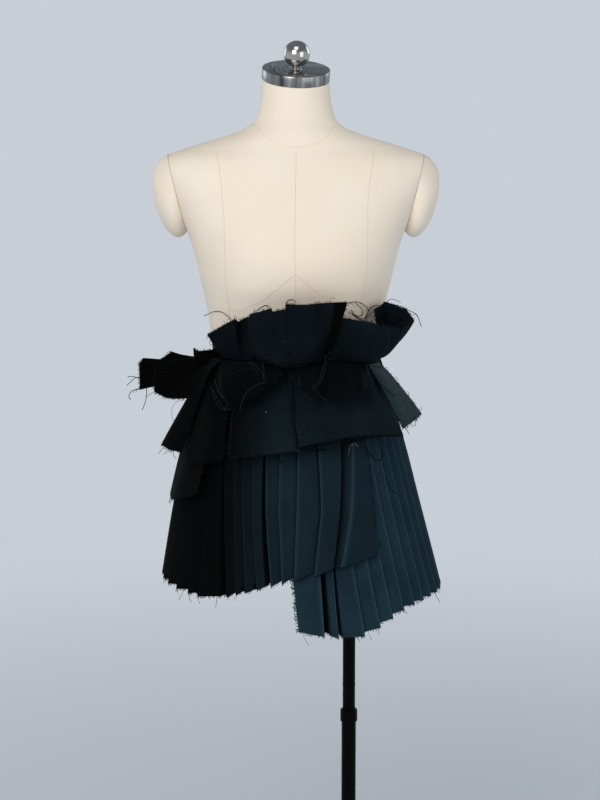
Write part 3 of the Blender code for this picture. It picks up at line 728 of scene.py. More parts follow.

# %% [markdown]
# ## Steel and enamel
# The neck cap is turned steel, brushed across, so its rim carries upright streaks: the grain of
# the brushing, with light and dark painted reflection in its colour. The knob is polished. The
# pole and the foot are steel in stoved black enamel. The streaks are a noise drawn out along the
# rim's height, and they use a UV map that goes round with the turning.

# %% Steel and enamel
# Polished steel mirrors the room, with hardly a ripple.
POLISHED = new_material("polished_stainless_steel", Metallic=1.0, Roughness=0.12)
grained(POLISHED, ("a9a9a6", "b9b8b4"), 60.0, 0.03, 0.0004)
# Brushed steel spreads each reflection; its colour carries streaks of painted reflection, light
# and dark.
BRUSHED = new_material("brushed_stainless_steel", Metallic=1.0, Roughness=0.3)
turned_way = add_node(BRUSHED, "ShaderNodeUVMap", uv_map="turned")
stretch = add_node(
    BRUSHED, "ShaderNodeMapping", {"Vector": (turned_way, "UV"), "Scale": (17.0, 0.02, 1.0)},
)
grained(BRUSHED, ("35383a", "b9bab9"), 1.0, 0.05, 0.0003, (stretch, "Vector"))
# Stoved enamel is a smooth deep black with a soft low gloss.
ENAMEL = new_material("black_stove_enamel", Roughness=0.45, Specular_IOR_Level=0.05)
grained(ENAMEL, ("010101", "030303"), 250.0, 0.05, 0.0002)
print("materials in all:", len(bpy.data.materials))

# %% [markdown]
# ## Where the form is cut
# A form has no arms and no head: it ends in two armholes that face down a little, and in a neck
# that slopes to the front. Each cut is a plane, given by its middle and its lean. The steel cap
# sits on the neck's cut, so the cap's own frame gives that plane.

# %% Armholes and neck
ARM_X, ARM_Y, ARM_Z = 172.5, 6.0, 281.0
ARM_LEAN = math.radians(13.5)
CAP_TILT, CAP_ROLL = math.radians(14.0), math.radians(2.5)
CAP_CENTRE = Vector((0.0, -2.0, 461.5))
CAP_THICKNESS = 16.0
CAP_FRAME = Matrix.Rotation(CAP_TILT, 3, "X") @ Matrix.Rotation(CAP_ROLL, 3, "Y")
GAP = 0.3


def arm_plane(side):
    """Middle, outward normal and upright of an armhole."""
    middle = Vector((side * ARM_X, ARM_Y, ARM_Z))
    normal = Vector((side * math.cos(ARM_LEAN), 0.0, -math.sin(ARM_LEAN)))
    upright = Vector((side * math.sin(ARM_LEAN), 0.0, math.cos(ARM_LEAN)))
    return middle, normal, upright


print("armholes:", 2 * ARM_X, "mm apart, pieces that meet:", GAP, "mm apart")

# %% [markdown]
# ## The torso
# A real form is a hollow shell padded with foam, under a stretched cover. Here the torso is one
# grid rolled to a tube through the sections. A subdivided cage would round it too, but would
# miss the measured widths. `bisect_plane` cuts the tube at a plane and drops what lies outside,
# and the rim is then filled.

# %% Torso
TURNS = 96
TORSO_ROWS = 150
ARM_CUT_FROM = 150.0


def rolled(columns):
    """A grid through the columns, closed to a tube where the last column meets the first."""
    bm = bmesh.new()
    bent_grid(bm, columns)
    bmesh.ops.remove_doubles(bm, verts=bm.verts, dist=1e-6)
    return bm


def cut_flat(bm, point, normal, lowest):
    """Cut away what lies beyond a plane, above a height, and close it; gives the rim's points."""
    floor = place((0, 0, lowest)).z
    verts = [v for v in bm.verts if v.co.z > floor]
    edges = [e for e in bm.edges if all(v.co.z > floor for v in e.verts)]
    faces = [f for f in bm.faces if all(v.co.z > floor for v in f.verts)]
    cut = bmesh.ops.bisect_plane(
        bm, geom=verts + edges + faces, plane_co=place(point), plane_no=normal,
        clear_outer=True, dist=1e-7,
    )
    rim = [e for e in cut["geom_cut"] if isinstance(e, bmesh.types.BMEdge)]
    spots = {tuple(v.co): v.co.copy() for e in rim for v in e.verts}
    bmesh.ops.edgeloop_fill(bm, edges=rim)
    return list(spots.values())


def build_torso():
    """The covered torso, and the rims of its two armholes in the form's millimetres."""
    low, high = FORM_SECTIONS[0].z, FORM_SECTIONS[-1].z
    heights = [low + (high - low) * k / TORSO_ROWS for k in range(TORSO_ROWS + 1)]
    columns = [[form_point(360.0 * i / TURNS, z) for z in heights] for i in range(TURNS + 1)]
    bm = rolled(columns)
    rims = {}
    for side in (-1, 1):
        middle, normal, upright = arm_plane(side)
        points = cut_flat(bm, middle, normal, ARM_CUT_FROM)
        flat = [(p - place((0, 0, 0))) / MM - middle for p in points]
        rims[side] = sorted(
            ((p.dot(upright), p.y) for p in flat), key=lambda s: math.atan2(s[0], s[1])
        )
    up = CAP_FRAME @ Vector((0, 0, 1))
    cut_flat(bm, CAP_CENTRE - up * (CAP_THICKNESS / 2 + GAP), up, ARM_Z)
    open_edges = [e for e in bm.edges if e.is_boundary]
    bmesh.ops.edgeloop_fill(bm, edges=open_edges)
    bmesh.ops.recalc_face_normals(bm, faces=bm.faces)
    SURFACES["torso"] = BVHTree.FromBMesh(bm)
    mesh = mesh_of(bm, "torso_canvas")
    return add_piece("torso_canvas", mesh, CANVAS, ["form_torso"]), rims


TORSO, ARM_RIMS = build_torso()
print("armhole rims have", len(ARM_RIMS[-1]), "and", len(ARM_RIMS[1]), "points")


# %% [markdown]
# ## Arm caps
# The stump of the arm is a padded dome sewn into the armhole. It starts on the torso's own rim,
# so no gap opens at the seam, and turns into a plain dome over its first rows. A scaled sphere
# would be quicker, but its rim wouldn't meet the torso's.

# %% Arm caps
ARM_HALF_HEIGHT, ARM_HALF_DEPTH = 64.0, 55.0
ARM_REACH = 36.0
DOME_ROWS, RIM_ROWS = 20, 9
DOME_FULLNESS = 0.8


def build_arm_cap(side, node):
    """The round stump that closes an armhole."""
    middle, normal, upright = arm_plane(side)
    columns = []
    for high, deep in ARM_RIMS[side] + ARM_RIMS[side][:1]:
        turn = math.atan2(high / ARM_HALF_HEIGHT, deep / ARM_HALF_DEPTH)
        dome_high, dome_deep = ARM_HALF_HEIGHT * math.sin(turn), ARM_HALF_DEPTH * math.cos(turn)
        column = []
        for k in range(DOME_ROWS + 1):
            swell = math.pi / 2 * k / DOME_ROWS
            size = max(math.cos(swell), 0.0) ** DOME_FULLNESS
            own = max(1.0 - k / RIM_ROWS, 0.0) ** 2
            column.append(
                middle + normal * (ARM_REACH * math.sin(swell) + GAP)
                + upright * size * (dome_high + (high - dome_high) * own)
                + Vector((0.0, size * (dome_deep + (deep - dome_deep) * own), 0.0))
            )
        columns.append(column)
    bm = rolled(columns)
    bmesh.ops.edgeloop_fill(bm, edges=[e for e in bm.edges if e.is_boundary])
    bmesh.ops.recalc_face_normals(bm, faces=bm.faces)
    SURFACES[node] = BVHTree.FromBMesh(bm)
    return add_piece(node + "_canvas", mesh_of(bm, node), CANVAS, [node])


ARM_CAPS = [build_arm_cap(-1, "form_arm_cap_left"), build_arm_cap(1, "form_arm_cap_right")]
print("arm caps:", [cap.name for cap in ARM_CAPS])

# %% [markdown]
# ## Seams of the form
# The cover is sewn from shaped panels, whose seams are a dressmaker's guide lines: centre front
# and back, the princess lines, the line under the bust, the side seams and the neck seam. Each
# is given by a few points, as an angle and a height on the form.

# %% Seam tables, as angle and height
FORM_SEAMS = [
    [(0.1, 354), (-0.1, 284), (-0.2, 202), (0, 120), (0, 0), (0, -200)],
    [(-42.5, 351.5), (-37.6, 347), (-32.3, 339), (-30.2, 334), (-28.9, 328), (-28.3, 315),
     (-29.1, 301), (-32.8, 261), (-39.4, 208), (-44, 154), (-47.5, 60), (-46, 0), (-44, -200)],
    [(40.5, 349.5), (34.9, 344), (31.2, 337), (28.9, 328), (27.9, 316), (30.3, 281), (36, 238),
     (41.5, 190), (43, 145), (45.5, 60), (46, 0), (44, -200)],
    [(-0.3, 179), (-8.8, 159), (-18.8, 140), (-27.8, 131), (-38.7, 123), (-60, 125),
     (-88, 135)],
    [(0.3, 179), (6.2, 163), (14.5, 147), (26.3, 133), (40, 122), (60, 125), (88, 135)],
    [(-180, 383), (-120, 388), (-59.6, 386.5), (-32.8, 375.7), (-16.1, 365.9), (-7.7, 360.2),
     (0.7, 357.7), (9.5, 361.1), (18.8, 367.3), (33.4, 375.6), (55.7, 385.2), (120, 388),
     (180, 383)],
    [(180, 382), (180, 250), (180, 100), (180, 0), (180, -200)],
    [(140, 352), (146, 250), (140, 100), (142, 0), (140, -200)],
    [(-140, 352), (-146, 250), (-140, 100), (-142, 0), (-140, -200)],
    [(88, 200), (90, 100), (90, 0), (90, -200)],
    [(-88, 200), (-90, 100), (-90, 0), (-90, -200)],
]
print("seams of the cover:", len(FORM_SEAMS))


# %% [markdown]
# ## Seam cords
# Each seam is a fine cord, half sunk in the cover: cut into the mesh it would need far more
# faces. The points get more between them on a smooth line, and all are laid on the surface. The
# armholes' cords follow the rims that the torso was cut with.


# %% Seam cords
def smoothed(points, between):
    """A row of points with more between each two, on a smooth line through them."""
    line = [Vector((*p, 0.0)[:3]) for p in points]
    made = []
    for i in range(len(line) - 1):
        p0, p3 = line[max(i - 1, 0)], line[min(i + 2, len(line) - 1)]
        p1, p2 = line[i], line[i + 1]
        for step in range(between):
            t = step / between
            made.append(
                p1 * (2 * t**3 - 3 * t**2 + 1) + (p2 - p0) / 2 * (t**3 - 2 * t**2 + t)
                + p2 * (3 * t**2 - 2 * t**3) + (p3 - p1) / 2 * (t**3 - t**2)
            )
    return made + [line[-1]]


CORD_OUT, ARM_CORD_OUT = 0.05, 0.15
paths = [[form_point(s.x, s.y, CORD_OUT) for s in smoothed(seam, 12)] for seam in FORM_SEAMS]
threads("form_seams", paths, 0.7, SEAM)
rings = []
for side, rim in ARM_RIMS.items():
    middle, normal, upright = arm_plane(side)
    centre = middle + normal * ARM_CORD_OUT
    ring = [centre + upright * high + Vector((0, deep, 0)) for high, deep in rim]
    rings.append(ring + ring[:1])
threads("armhole_seams", rings, 1.1, ARM_SEAM)
print("cords:", len(paths) + len(rings))

# %% [markdown]
# ## Turned parts
# The neck cap, the knob, the pole and the foot are turned on a lathe, so each is a short profile
# of radius and height, spun about its axis with `bmesh.ops.spin`. The radii and heights are
# those of the solids. A full spin leaves doubles on the axis and may turn the faces inside out,
# so the doubles are merged and the normals recalculated.


# %% Turned pieces
def turned(node, profile, middle, frame_matrix, mat, turns=64):
    """A profile of (radius, height) spun to a closed piece that stands for its CAD node."""
    bm = bmesh.new()
    rows = [(0.0, profile[0][1])] + list(profile) + [(0.0, profile[-1][1])]
    verts = [bm.verts.new((radius * MM, 0.0, height * MM)) for radius, height in rows]
    edges = [bm.edges.new(pair) for pair in zip(verts, verts[1:])]
    bmesh.ops.spin(
        bm, geom=verts + edges, cent=(0, 0, 0), axis=(0, 0, 1), angle=2 * math.pi,
        steps=turns, use_merge=True,
    )
    bmesh.ops.remove_doubles(bm, verts=bm.verts, dist=1e-7)
    bmesh.ops.recalc_face_normals(bm, faces=bm.faces)
    uv = bm.loops.layers.uv.new("turned")
    for face in bm.faces:
        far = math.atan2(*face.calc_center_median().yx)
        for loop in face.loops:
            way = math.atan2(loop.vert.co.y, loop.vert.co.x)
            way += 2 * math.pi * round((far - way) / (2 * math.pi))
            loop[uv].uv = (way / (2 * math.pi), loop.vert.co.z / (10 * MM))
    matrix = (frame_matrix or Matrix.Identity(3)).to_4x4()
    matrix.translation = place(middle)
    bm.transform(matrix)
    return add_piece(node + "_turned", mesh_of(bm, node, TURNED_CRISP_FROM), mat, [node])


print("turned pieces to make: 8")


# %% [markdown]
# ## Neck cap and knob
# The cap is a steel disc with softened rims that closes the neck, and it slopes to the front as
# the neck does. The knob, by which a form is carried, is a ball on a short stem. The ball's
# profile starts at the ring where it sits on the stem.

# %% Neck cap and knob
CAP_R, EDGE = 50.0, 1.2
HALF = CAP_THICKNESS / 2
rim = [(CAP_R - EDGE, -HALF), (CAP_R - EDGE * 0.3, -HALF + EDGE * 0.3), (CAP_R, -HALF + EDGE)]
rim += [(CAP_R, HALF - EDGE), (CAP_R - EDGE * 0.3, HALF - EDGE * 0.3), (CAP_R - EDGE, HALF)]
turned("neck_cap", rim, CAP_CENTRE, CAP_FRAME, BRUSHED, 96)
STEM_R, STEM_H, BALL_R, KNOB_Y = 7.5, 5.0, 19.5, -8.0
knob = CAP_CENTRE + CAP_FRAME @ Vector((0, KNOB_Y, 0))
top = HALF + GAP
stem = [(STEM_R + 2, top), (STEM_R, top + 1.5), (STEM_R, top + STEM_H)]
turned("neck_stem", stem, knob, CAP_FRAME, POLISHED)
seat = math.asin(STEM_R / BALL_R)
ball_middle = knob + CAP_FRAME @ Vector((0, 0, top + STEM_H + GAP + BALL_R * math.cos(seat)))
BALL_ROWS = 28
arc = [(math.pi - seat) * (1 - k / BALL_ROWS) for k in range(BALL_ROWS)]
ball = [(BALL_R * math.sin(a), BALL_R * math.cos(a)) for a in arc]
turned("neck_ball", ball, ball_middle, CAP_FRAME, POLISHED)
print("knob middle at", [round(v, 1) for v in ball_middle])

# %% [markdown]
# ## Pole and foot
# Two tubes slide in each other under the form, and a collar clamps them at the height that is
# wanted. They stand in a boss on a round plate. The photograph ends above the foot, so it is a
# plain one of the usual size. The heights here start at the floor.

# %% Pole and foot
FLOOR = Vector((81.0, 0.0, -1020.0))
base = [(179.2, 0), (180, 0.8), (180, 5.0), (179.1, 7.1), (177, 8.0)]
turned("base_plate", base, FLOOR, None, ENAMEL, 128)
boss = [(30, 8.3), (30, 16.3), (28, 19.5), (24, 22.3), (17, 38.3)]
turned("base_boss", boss, FLOOR, None, ENAMEL)
lower_tube = [(11, 38.6), (11, 496.7)]
turned("stand_lower_tube", lower_tube, FLOOR, None, ENAMEL, 40)
collar = [(11.5, 497), (13, 498.5), (13, 515.5), (10.5, 518)]
turned("stand_collar", collar, FLOOR, None, ENAMEL, 40)
upper_tube = [(9.5, 518.3), (9.5, 554), (10, 554.6), (10, 556.4), (9.5, 557), (9.5, 804.7)]
turned("stand_upper_tube", upper_tube, FLOOR, None, ENAMEL, 40)
print("pole and foot:", round(upper_tube[-1][1]), "mm high to the form")

# %% [markdown]
# ## Knife pleats
# A knife pleat is a strip of cloth folded back under itself and pressed. Each pleat line has an
# angle at the waist, at mid height and at the hem, how much deeper than usual it is, and how
# wide it gapes. The pleats that the photograph shows are listed one by one. An Array modifier
# would make them all alike.

# %% Pleat tables
Pleat = namedtuple("Pleat", "waist middle hem deeper gap", defaults=[0.0])
OVER_FRONT_PLEATS = [
    Pleat(-58, -52, -52, 1.0),
    Pleat(-49, -45, -46, 1.0),
    Pleat(-43, -35.5, -31, 1.8, 3.6),
    Pleat(-36, -30.5, -27, 0.9),
    Pleat(-30, -26, -23, 1.0),
    Pleat(-24, -21, -18, 0.8),
    Pleat(-17, -15, -12.5, 1.5, 3.0),
    Pleat(-8, -9, -8, 1.0),
    Pleat(2, -1, -3, 0.9),
    Pleat(12, 10, 5, 0.9),
]
UNDER_FRONT_PLEATS = [
    Pleat(8, 7.6, 7.3, 1.9, 3.2),
    Pleat(13, 13.2, 12.9, 1.3, 1.9),
    Pleat(19, 21, 23.5, 0.8),
    Pleat(26, 28, 31, 1.0),
    Pleat(33, 35, 37.5, 0.9),
    Pleat(40, 42, 44, 1.0),
    Pleat(47, 49, 51, 1.0),
    Pleat(54, 56, 58, 1.0),
    Pleat(62, 63.5, 65, 1.0),
    Pleat(70, 71.5, 73, 1.0),
]
OVER_EDGE = Pleat(41, 35.5, 33.5, 1.0)
DEEP_PLEAT_INNER = Pleat(28, 18.3, 12.9, 1.0)
DEEP_PLEAT_EDGE = Pleat(36, 23.6, 16.2, 1.0)
DEEP_PLEAT_RISE = 2.4
UNDER_EDGE = Pleat(-2, -6.1, -2.3, 1.0)
GAP_SINK = 13.0
WAIST_DEPTH, HEM_DEPTH = SKIRT_ROWS[-1].pleat_depth, SKIRT_ROWS[0].pleat_depth
PLEAT_PITCH = 8.6
OVER_BACK_END = -168.0
UNDER_BACK_END = 196.0
MIDDLE_Z = -160.0
OVER_HEM = [
    (-168, -284), (-135, -284), (-90, -283), (-62, -288), (-46, -290), (-34, -287),
    (-22, -274), (-4, -255), (17, -238), (34, -227),
]
UNDER_HEM = [
    (-2, -333), (6, -337), (18, -344), (26, -339), (36, -322), (46, -309), (62, -304),
    (90, -303), (135, -300), (196, -298),
]
PLEAT_ROWS = 30
OVER_STEP = 6.0
UNDER_STEP = 4.0
# Painted shade in each tuck.
TUCK_SHADE = -0.75
print("pleats in front:", len(OVER_FRONT_PLEATS) + len(UNDER_FRONT_PLEATS))

# %% [markdown]
# ## From a pleat line to a column
# The wall runs from a fold, under it to the tuck, and across the next face. A column stands out
# by half the pleat's depth at a fold and lies in by half at the tuck. The faces between are
# bowed out a little, as pressed cloth is, and a slow noise makes each line sway by a third of a
# degree.

# %% Pleat columns
TUCK_DEEPER = 0.55
OVER_TUCK = 0.3
SWAY = 0.3


def pleat_angle(pleat, z, hem):
    """Where a pleat line is at height z."""
    top = (z - MIDDLE_Z) / (SEAM_Z - MIDDLE_Z)
    low = (MIDDLE_Z - z) / (MIDDLE_Z - hem)
    if z > MIDDLE_Z:
        return pleat.middle + (pleat.waist - pleat.middle) * top
    return pleat.middle + (pleat.hem - pleat.middle) * low


def pleat_column(pleat, hem_table, over, level, shift, step=0.0, sink=0.0):
    """Points down the panel: level +1 is a fold's edge, -1 its tuck; step lifts the hem."""
    hem = straight_rows(hem_table, pleat.hem) + step
    column = []
    for k in range(PLEAT_ROWS + 1):
        t = k / PLEAT_ROWS
        z = hem + (SEAM_Z - hem) * t
        row = blend_rows(SKIRT_ROWS, z)
        depth = row.pleat_depth * pleat.deeper
        out = (row.over_gap if over else 0.0) + level * row.pleat_depth / 2
        if level < 0:
            deeper = TUCK_DEEPER * level * (depth - row.pleat_depth)
            out += deeper * (OVER_TUCK if over else 1.0)
        out -= sink * (row.pleat_depth - WAIST_DEPTH) / (HEM_DEPTH - WAIST_DEPTH)
        sway = SWAY * noise.noise(Vector((pleat.hem * 0.37, z * 0.012, 5.0 if over else 1.0)))
        turn = math.degrees(shift * row.tuck / row.half_width)
        column.append(skirt_point(pleat_angle(pleat, z, hem) + turn + sway, z, out))
    return column


def face_columns(left, right, bulge=0.5):
    """Columns across a pleat's face, a little proud of the straight line."""
    made = []
    for t in (0.2, 0.5, 0.8):
        column = []
        for a, b in zip(left, right):
            point = a * (1 - t) + b * t
            outward = Vector((point.x, point.y, 0.0)).normalized()
            column.append(point + outward * bulge * 4 * t * (1 - t))
        made.append(column)
    return made


def regular_pleats(start, stop, pitch):
    """Evenly pressed pleats for the stretch that turns to the back."""
    count = int(abs(stop - start) / pitch)
    step = (stop - start) / count
    return [Pleat(*(start + step * (k + 1),) * 3, 1.0) for k in range(count)]


fold = pleat_column(UNDER_FRONT_PLEATS[0], UNDER_HEM, False, 1, 0)
print("longest front fold, near:", round(cloth_lengths([fold, fold])[1][0][-1], 3), "m")


# %% [markdown]
# ## Long pleated panel
# The lower panel starts at the centre front with a free edge, goes round the wearer's left hip
# and ends behind. After the listed pleats come regular ones. Each fold gets a pale line of painted
# highlight and each tuck painted shade. Two pleats near the free edge gape, so the cloth goes down
# into the gap, which is painted dark as shade, and comes out again.


# %% Long pleated panel
def opened_pleat(pleat, table, over, way):
    """Columns of a pleat that gapes: down into the gap and up to where the cloth comes out."""
    made = []
    for part, level, sink in ((0.3, -1, GAP_SINK), (0.75, -1, GAP_SINK), (1.0, 0.4, 0.0)):
        far = way * pleat.gap * part
        moved = Pleat(pleat.waist + far * 0.4, pleat.middle + far * 0.8, pleat.hem + far, 1.0)
        made.append(pleat_column(moved, table, over, level, 0, 0.0, sink))
    return made


def long_pleats():
    """Columns of the panel that starts at the front and runs round the right side."""
    last = UNDER_FRONT_PLEATS[-1].hem
    pleats = UNDER_FRONT_PLEATS + regular_pleats(last, UNDER_BACK_END - PLEAT_PITCH, PLEAT_PITCH)
    columns = [pleat_column(UNDER_EDGE, UNDER_HEM, False, 0.2, 0)]
    marks = {}
    for pleat in pleats:
        fold = pleat_column(pleat, UNDER_HEM, False, 1, 0, -UNDER_STEP / 2)
        under = pleat_column(pleat, UNDER_HEM, False, 0.6, -0.05, -UNDER_STEP / 2)
        columns += face_columns(columns[-1], fold)
        # Painted highlight on each fold, painted shade in each tuck and gap.
        marks[len(columns)] = 0.8
        columns += [fold, under]
        if pleat.gap:
            marks.update({len(columns): -1.0, len(columns) + 1: -1.0})
            columns += opened_pleat(pleat, UNDER_HEM, False, 1)
        else:
            marks[len(columns)] = TUCK_SHADE
            columns.append(pleat_column(pleat, UNDER_HEM, False, -1, -1, UNDER_STEP / 2))
    end = Pleat(UNDER_BACK_END, UNDER_BACK_END, UNDER_BACK_END, 1.0)
    columns.append(pleat_column(end, UNDER_HEM, False, 0, 0))
    return columns, marks


LONG_COLUMNS, LONG_MARKS = long_pleats()
cloth_piece(
    "long_pleated_panel", LONG_COLUMNS, PLEAT_WOOL,
    raw=("start", "last"), pressed=LONG_MARKS,
)


# %% [markdown]
# ## Short pleated panel
# The upper panel covers the wearer's right hip and is pleated the other way. It ends in front in
# one deep pleat, whose edge stands proud of the rest. Its columns go round the same way as the
# long panel's, from behind to the front, so that both sheets face outwards.


# %% Short pleated panel
def short_pleats():
    """Columns of the panel over it, from the deep pleat round the left side to the back."""
    first = OVER_FRONT_PLEATS[0].hem
    back = regular_pleats(first, OVER_BACK_END + PLEAT_PITCH, PLEAT_PITCH)
    pleats = sorted(back, key=lambda p: p.hem) + OVER_FRONT_PLEATS
    end = Pleat(OVER_BACK_END, OVER_BACK_END, OVER_BACK_END, 1.0)
    columns = [pleat_column(end, OVER_HEM, True, 0, 0)]
    marks = {}
    for pleat in pleats:
        under = pleat_column(pleat, OVER_HEM, True, 0.6, 0.05, -OVER_STEP / 2)
        fold = pleat_column(pleat, OVER_HEM, True, 1, 0, -OVER_STEP / 2)
        if pleat.gap:
            inner = opened_pleat(pleat, OVER_HEM, True, -1)[::-1]
        else:
            inner = [pleat_column(pleat, OVER_HEM, True, -1, 1, OVER_STEP / 2)]
        columns += face_columns(columns[-1], inner[0])
        # Painted shade in each tuck and gap, a painted highlight on each fold.
        start = len(columns) + (1 if pleat.gap else 0)
        mark = -1.0 if pleat.gap else TUCK_SHADE
        marks.update({k: mark for k in range(start, start + len(inner))})
        columns += inner + [under]
        marks[len(columns)] = 0.9
        columns.append(fold)
    brink = pleat_column(DEEP_PLEAT_INNER, OVER_HEM, True, 0.9, 0)
    tuck = pleat_column(DEEP_PLEAT_INNER, OVER_HEM, True, -1, 0.12)
    fold = pleat_column(DEEP_PLEAT_EDGE, OVER_HEM, True, DEEP_PLEAT_RISE, 0)
    columns += face_columns(columns[-1], brink, 0.8)
    # Painted shade inside the deep pleat, and a painted highlight on its edge.
    marks.update({len(columns) + 1: -1.0, len(columns) + 2: -0.9, len(columns) + 3: -0.4})
    columns += [brink, tuck] + face_columns(tuck, fold, 0.3)
    marks[len(columns)] = 1.0
    columns.append(fold)
    edge = pleat_column(OVER_EDGE, OVER_HEM, True, 0, 0)
    columns += face_columns(fold, edge, 1.0) + [edge]
    return columns, marks


SHORT_COLUMNS, SHORT_MARKS = short_pleats()
cloth_piece(
    "short_pleated_panel", SHORT_COLUMNS, OVER_WOOL,
    raw=("start", "last"), pressed=SHORT_MARKS,
)

# %% [markdown]
# ## Flat layers and peplum
# These pieces are cut flat and flare out from the waist seam. Each is given by how far out its
# seam lies and by a few lines down the cloth: the angle at the seam, where the line ends, and
# how far the cloth bellies out on the way. A cloth simulation would drape them softly, but not
# into the folds of the photograph.

# %% Tier tables
Fold = namedtuple("Fold", "angle out_x out_y out_z flare")
TIERS = {
    "hip_layer": (5.0, [
        Fold(-128, -139, 128, -150, 4),
        Fold(-112, -174, 78, -158, 5),
        Fold(-96, -187, 28, -163, 6),
        Fold(-82, -188, -22, -164, 6),
        Fold(-70, -179, -68, -160, 6),
        Fold(-58, -160, -100, -150, 5),
        Fold(-50, -143, -118, -143, 5),
    ]),
    "peplum_left_flare": (6.8, [
        Fold(-104, -184, 28, -78, -2),
        Fold(-92, -196, -6, -86, 2),
        Fold(-82, -200, -34, -84, 2),
        Fold(-75, -186, -56, -88, 0),
        Fold(-69, -169, -64, -90, 2),
    ]),
    "peplum_panel_left": (6.9, [
        Fold(-66, -160, -78, -101, 5),
        Fold(-58, -146, -100, -99, 7),
        Fold(-50, -127, -120, -94, 7),
        Fold(-43, -106, -134, -87, 4),
    ]),
    "peplum_panel_centre": (4.8, [
        Fold(-41, -97, -142, -80, 6),
        Fold(-34, -72, -153, -79, 8),
        Fold(-23, -44, -160, -76, 8),
        Fold(-12, -16, -165, -73, 8),
        Fold(-2, 8, -164, -70, 4),
    ]),
    "peplum_panel_right": (6.8, [
        Fold(-6, 5, -176, -61, 3),
        Fold(6, 34, -174, -55, 8),
        Fold(18, 66, -166, -50, 9),
        Fold(30, 98, -152, -47, 9),
        Fold(41, 130, -128, -52, 7),
        Fold(49, 157, -100, -59, 2),
    ]),
    "peplum_back_right": (6.8, [
        Fold(104, 158, 52, -70, 3),
        Fold(114, 154, 76, -76, 5),
        Fold(124, 146, 98, -82, 6),
        Fold(135, 126, 122, -84, 6),
        Fold(145, 102, 138, -80, 3),
    ]),
    "peplum_back_centre": (8.8, [
        Fold(142, 112, 148, -74, 3),
        Fold(156, 74, 160, -78, 8),
        Fold(170, 34, 168, -80, 9),
        Fold(184, -8, 168, -80, 9),
        Fold(198, -52, 162, -76, 6),
        Fold(208, -84, 150, -72, 3),
    ]),
    "peplum_back_left": (6.8, [
        Fold(205, -80, 142, -84, 3),
        Fold(216, -108, 134, -88, 7),
        Fold(228, -136, 110, -90, 8),
        Fold(240, -158, 78, -90, 6),
        Fold(250, -172, 48, -86, 3),
    ]),
    "right_flap": (2.3, [
        Fold(58, 158, -58, -56, 3),
        Fold(64, 168, -46, -51, 8),
        Fold(71, 178, -33, -46, 8),
        Fold(78, 187, -20, -41, 5),
    ]),
}
print("flat layers:", len(TIERS))

# %% [markdown]
# ## From a few lines to a sheet
# Each line is a parabola from the seam, past a knee, to the free edge. Between two lines more
# are added on a cubic, so the cloth rolls softly from one to the next. At a crisp fold the cubic
# leaves straight, and the fold stays sharp.

# %% Tier columns
TIER_ROWS = 22
TIER_BETWEEN = 8
TIER_CREASES = 2.4


def curve_point(root, knee, tip, t):
    """A point on the bent line from the root past the knee to the tip."""
    return root * (1 - t) ** 2 + knee * (2 * t * (1 - t)) + tip * t**2


def between_curves(curves, between, crisp=None):
    """The curves with more between each two: rounded at soft folds, straight at crisp ones."""
    columns = []
    last = len(curves) - 1
    crisp = crisp or [0] * len(curves)
    for i in range(last):
        before, after = curves[max(i - 1, 0)], curves[min(i + 2, last)]
        for step in range(between):
            t = step / between
            column = []
            for p0, p1, p2, p3 in zip(before, curves[i], curves[i + 1], after):
                straight = p2 - p1
                bend_1 = straight if crisp[i] else (p2 - p0) / 2
                bend_2 = straight if crisp[i + 1] else (p3 - p1) / 2
                column.append(
                    p1 * (2 * t**3 - 3 * t**2 + 1)
                    + bend_1 * (t**3 - 2 * t**2 + t)
                    + p2 * (3 * t**2 - 2 * t**3)
                    + bend_2 * (t**3 - t**2)
                )
            columns.append(column)
    columns.append(curves[-1])
    return columns


def tier_columns(folds, out):
    """Columns of a flared tier, from the waist seam to the free edge."""
    curves = []
    for fold in folds:
        root = skirt_point(fold.angle, SEAM_Z, out)
        tip = Vector((fold.out_x, fold.out_y, fold.out_z))
        outward = Vector((root.x, root.y, 0.0)).normalized()
        knee = (root + tip) / 2 + outward * fold.flare
        curve = [curve_point(root, knee, tip, k / TIER_ROWS) for k in range(TIER_ROWS + 1)]
        curves.append(curve)
    return between_curves(curves, TIER_BETWEEN)


hip_out, hip_folds = TIERS["hip_layer"]
print("columns in the hip layer:", len(tier_columns(hip_folds, hip_out)))

# %% [markdown]
# ## Making the flat layers
# One loop makes them all. The flap at the wearer's left hip shows the satin side, and two faint
# press lines down the peplum's centre piece are painted highlights.

# %% Flat layers and peplum
TIER_HIGHLIGHTS = {"peplum_panel_centre": {11: 0.5, 27: 0.4}}
for seed, (name, (out, folds)) in enumerate(TIERS.items()):
    columns = rumpled(tier_columns(folds, out), TIER_CREASES, seed + 1.5)
    mat, slot = (SATIN, "navy_satin_back") if name == "right_flap" else (PEPLUM_WOOL, "navy_wool")
    cloth_piece(
        name, columns, mat,
        raw=("end", "first", "last"), pressed=TIER_HIGHLIGHTS.get(name),
    )

# %% [markdown]
# ## Two rows of folded cloth
# Both rows are strips, folded by hand and caught down at the waist: the upper row stands up
# against the form, the lower one hangs out. Each line of the table is a fold, from the angle
# where it is caught to the place of its free end. `crisp` says whether it was creased, 1, or
# just rolls over, 0.

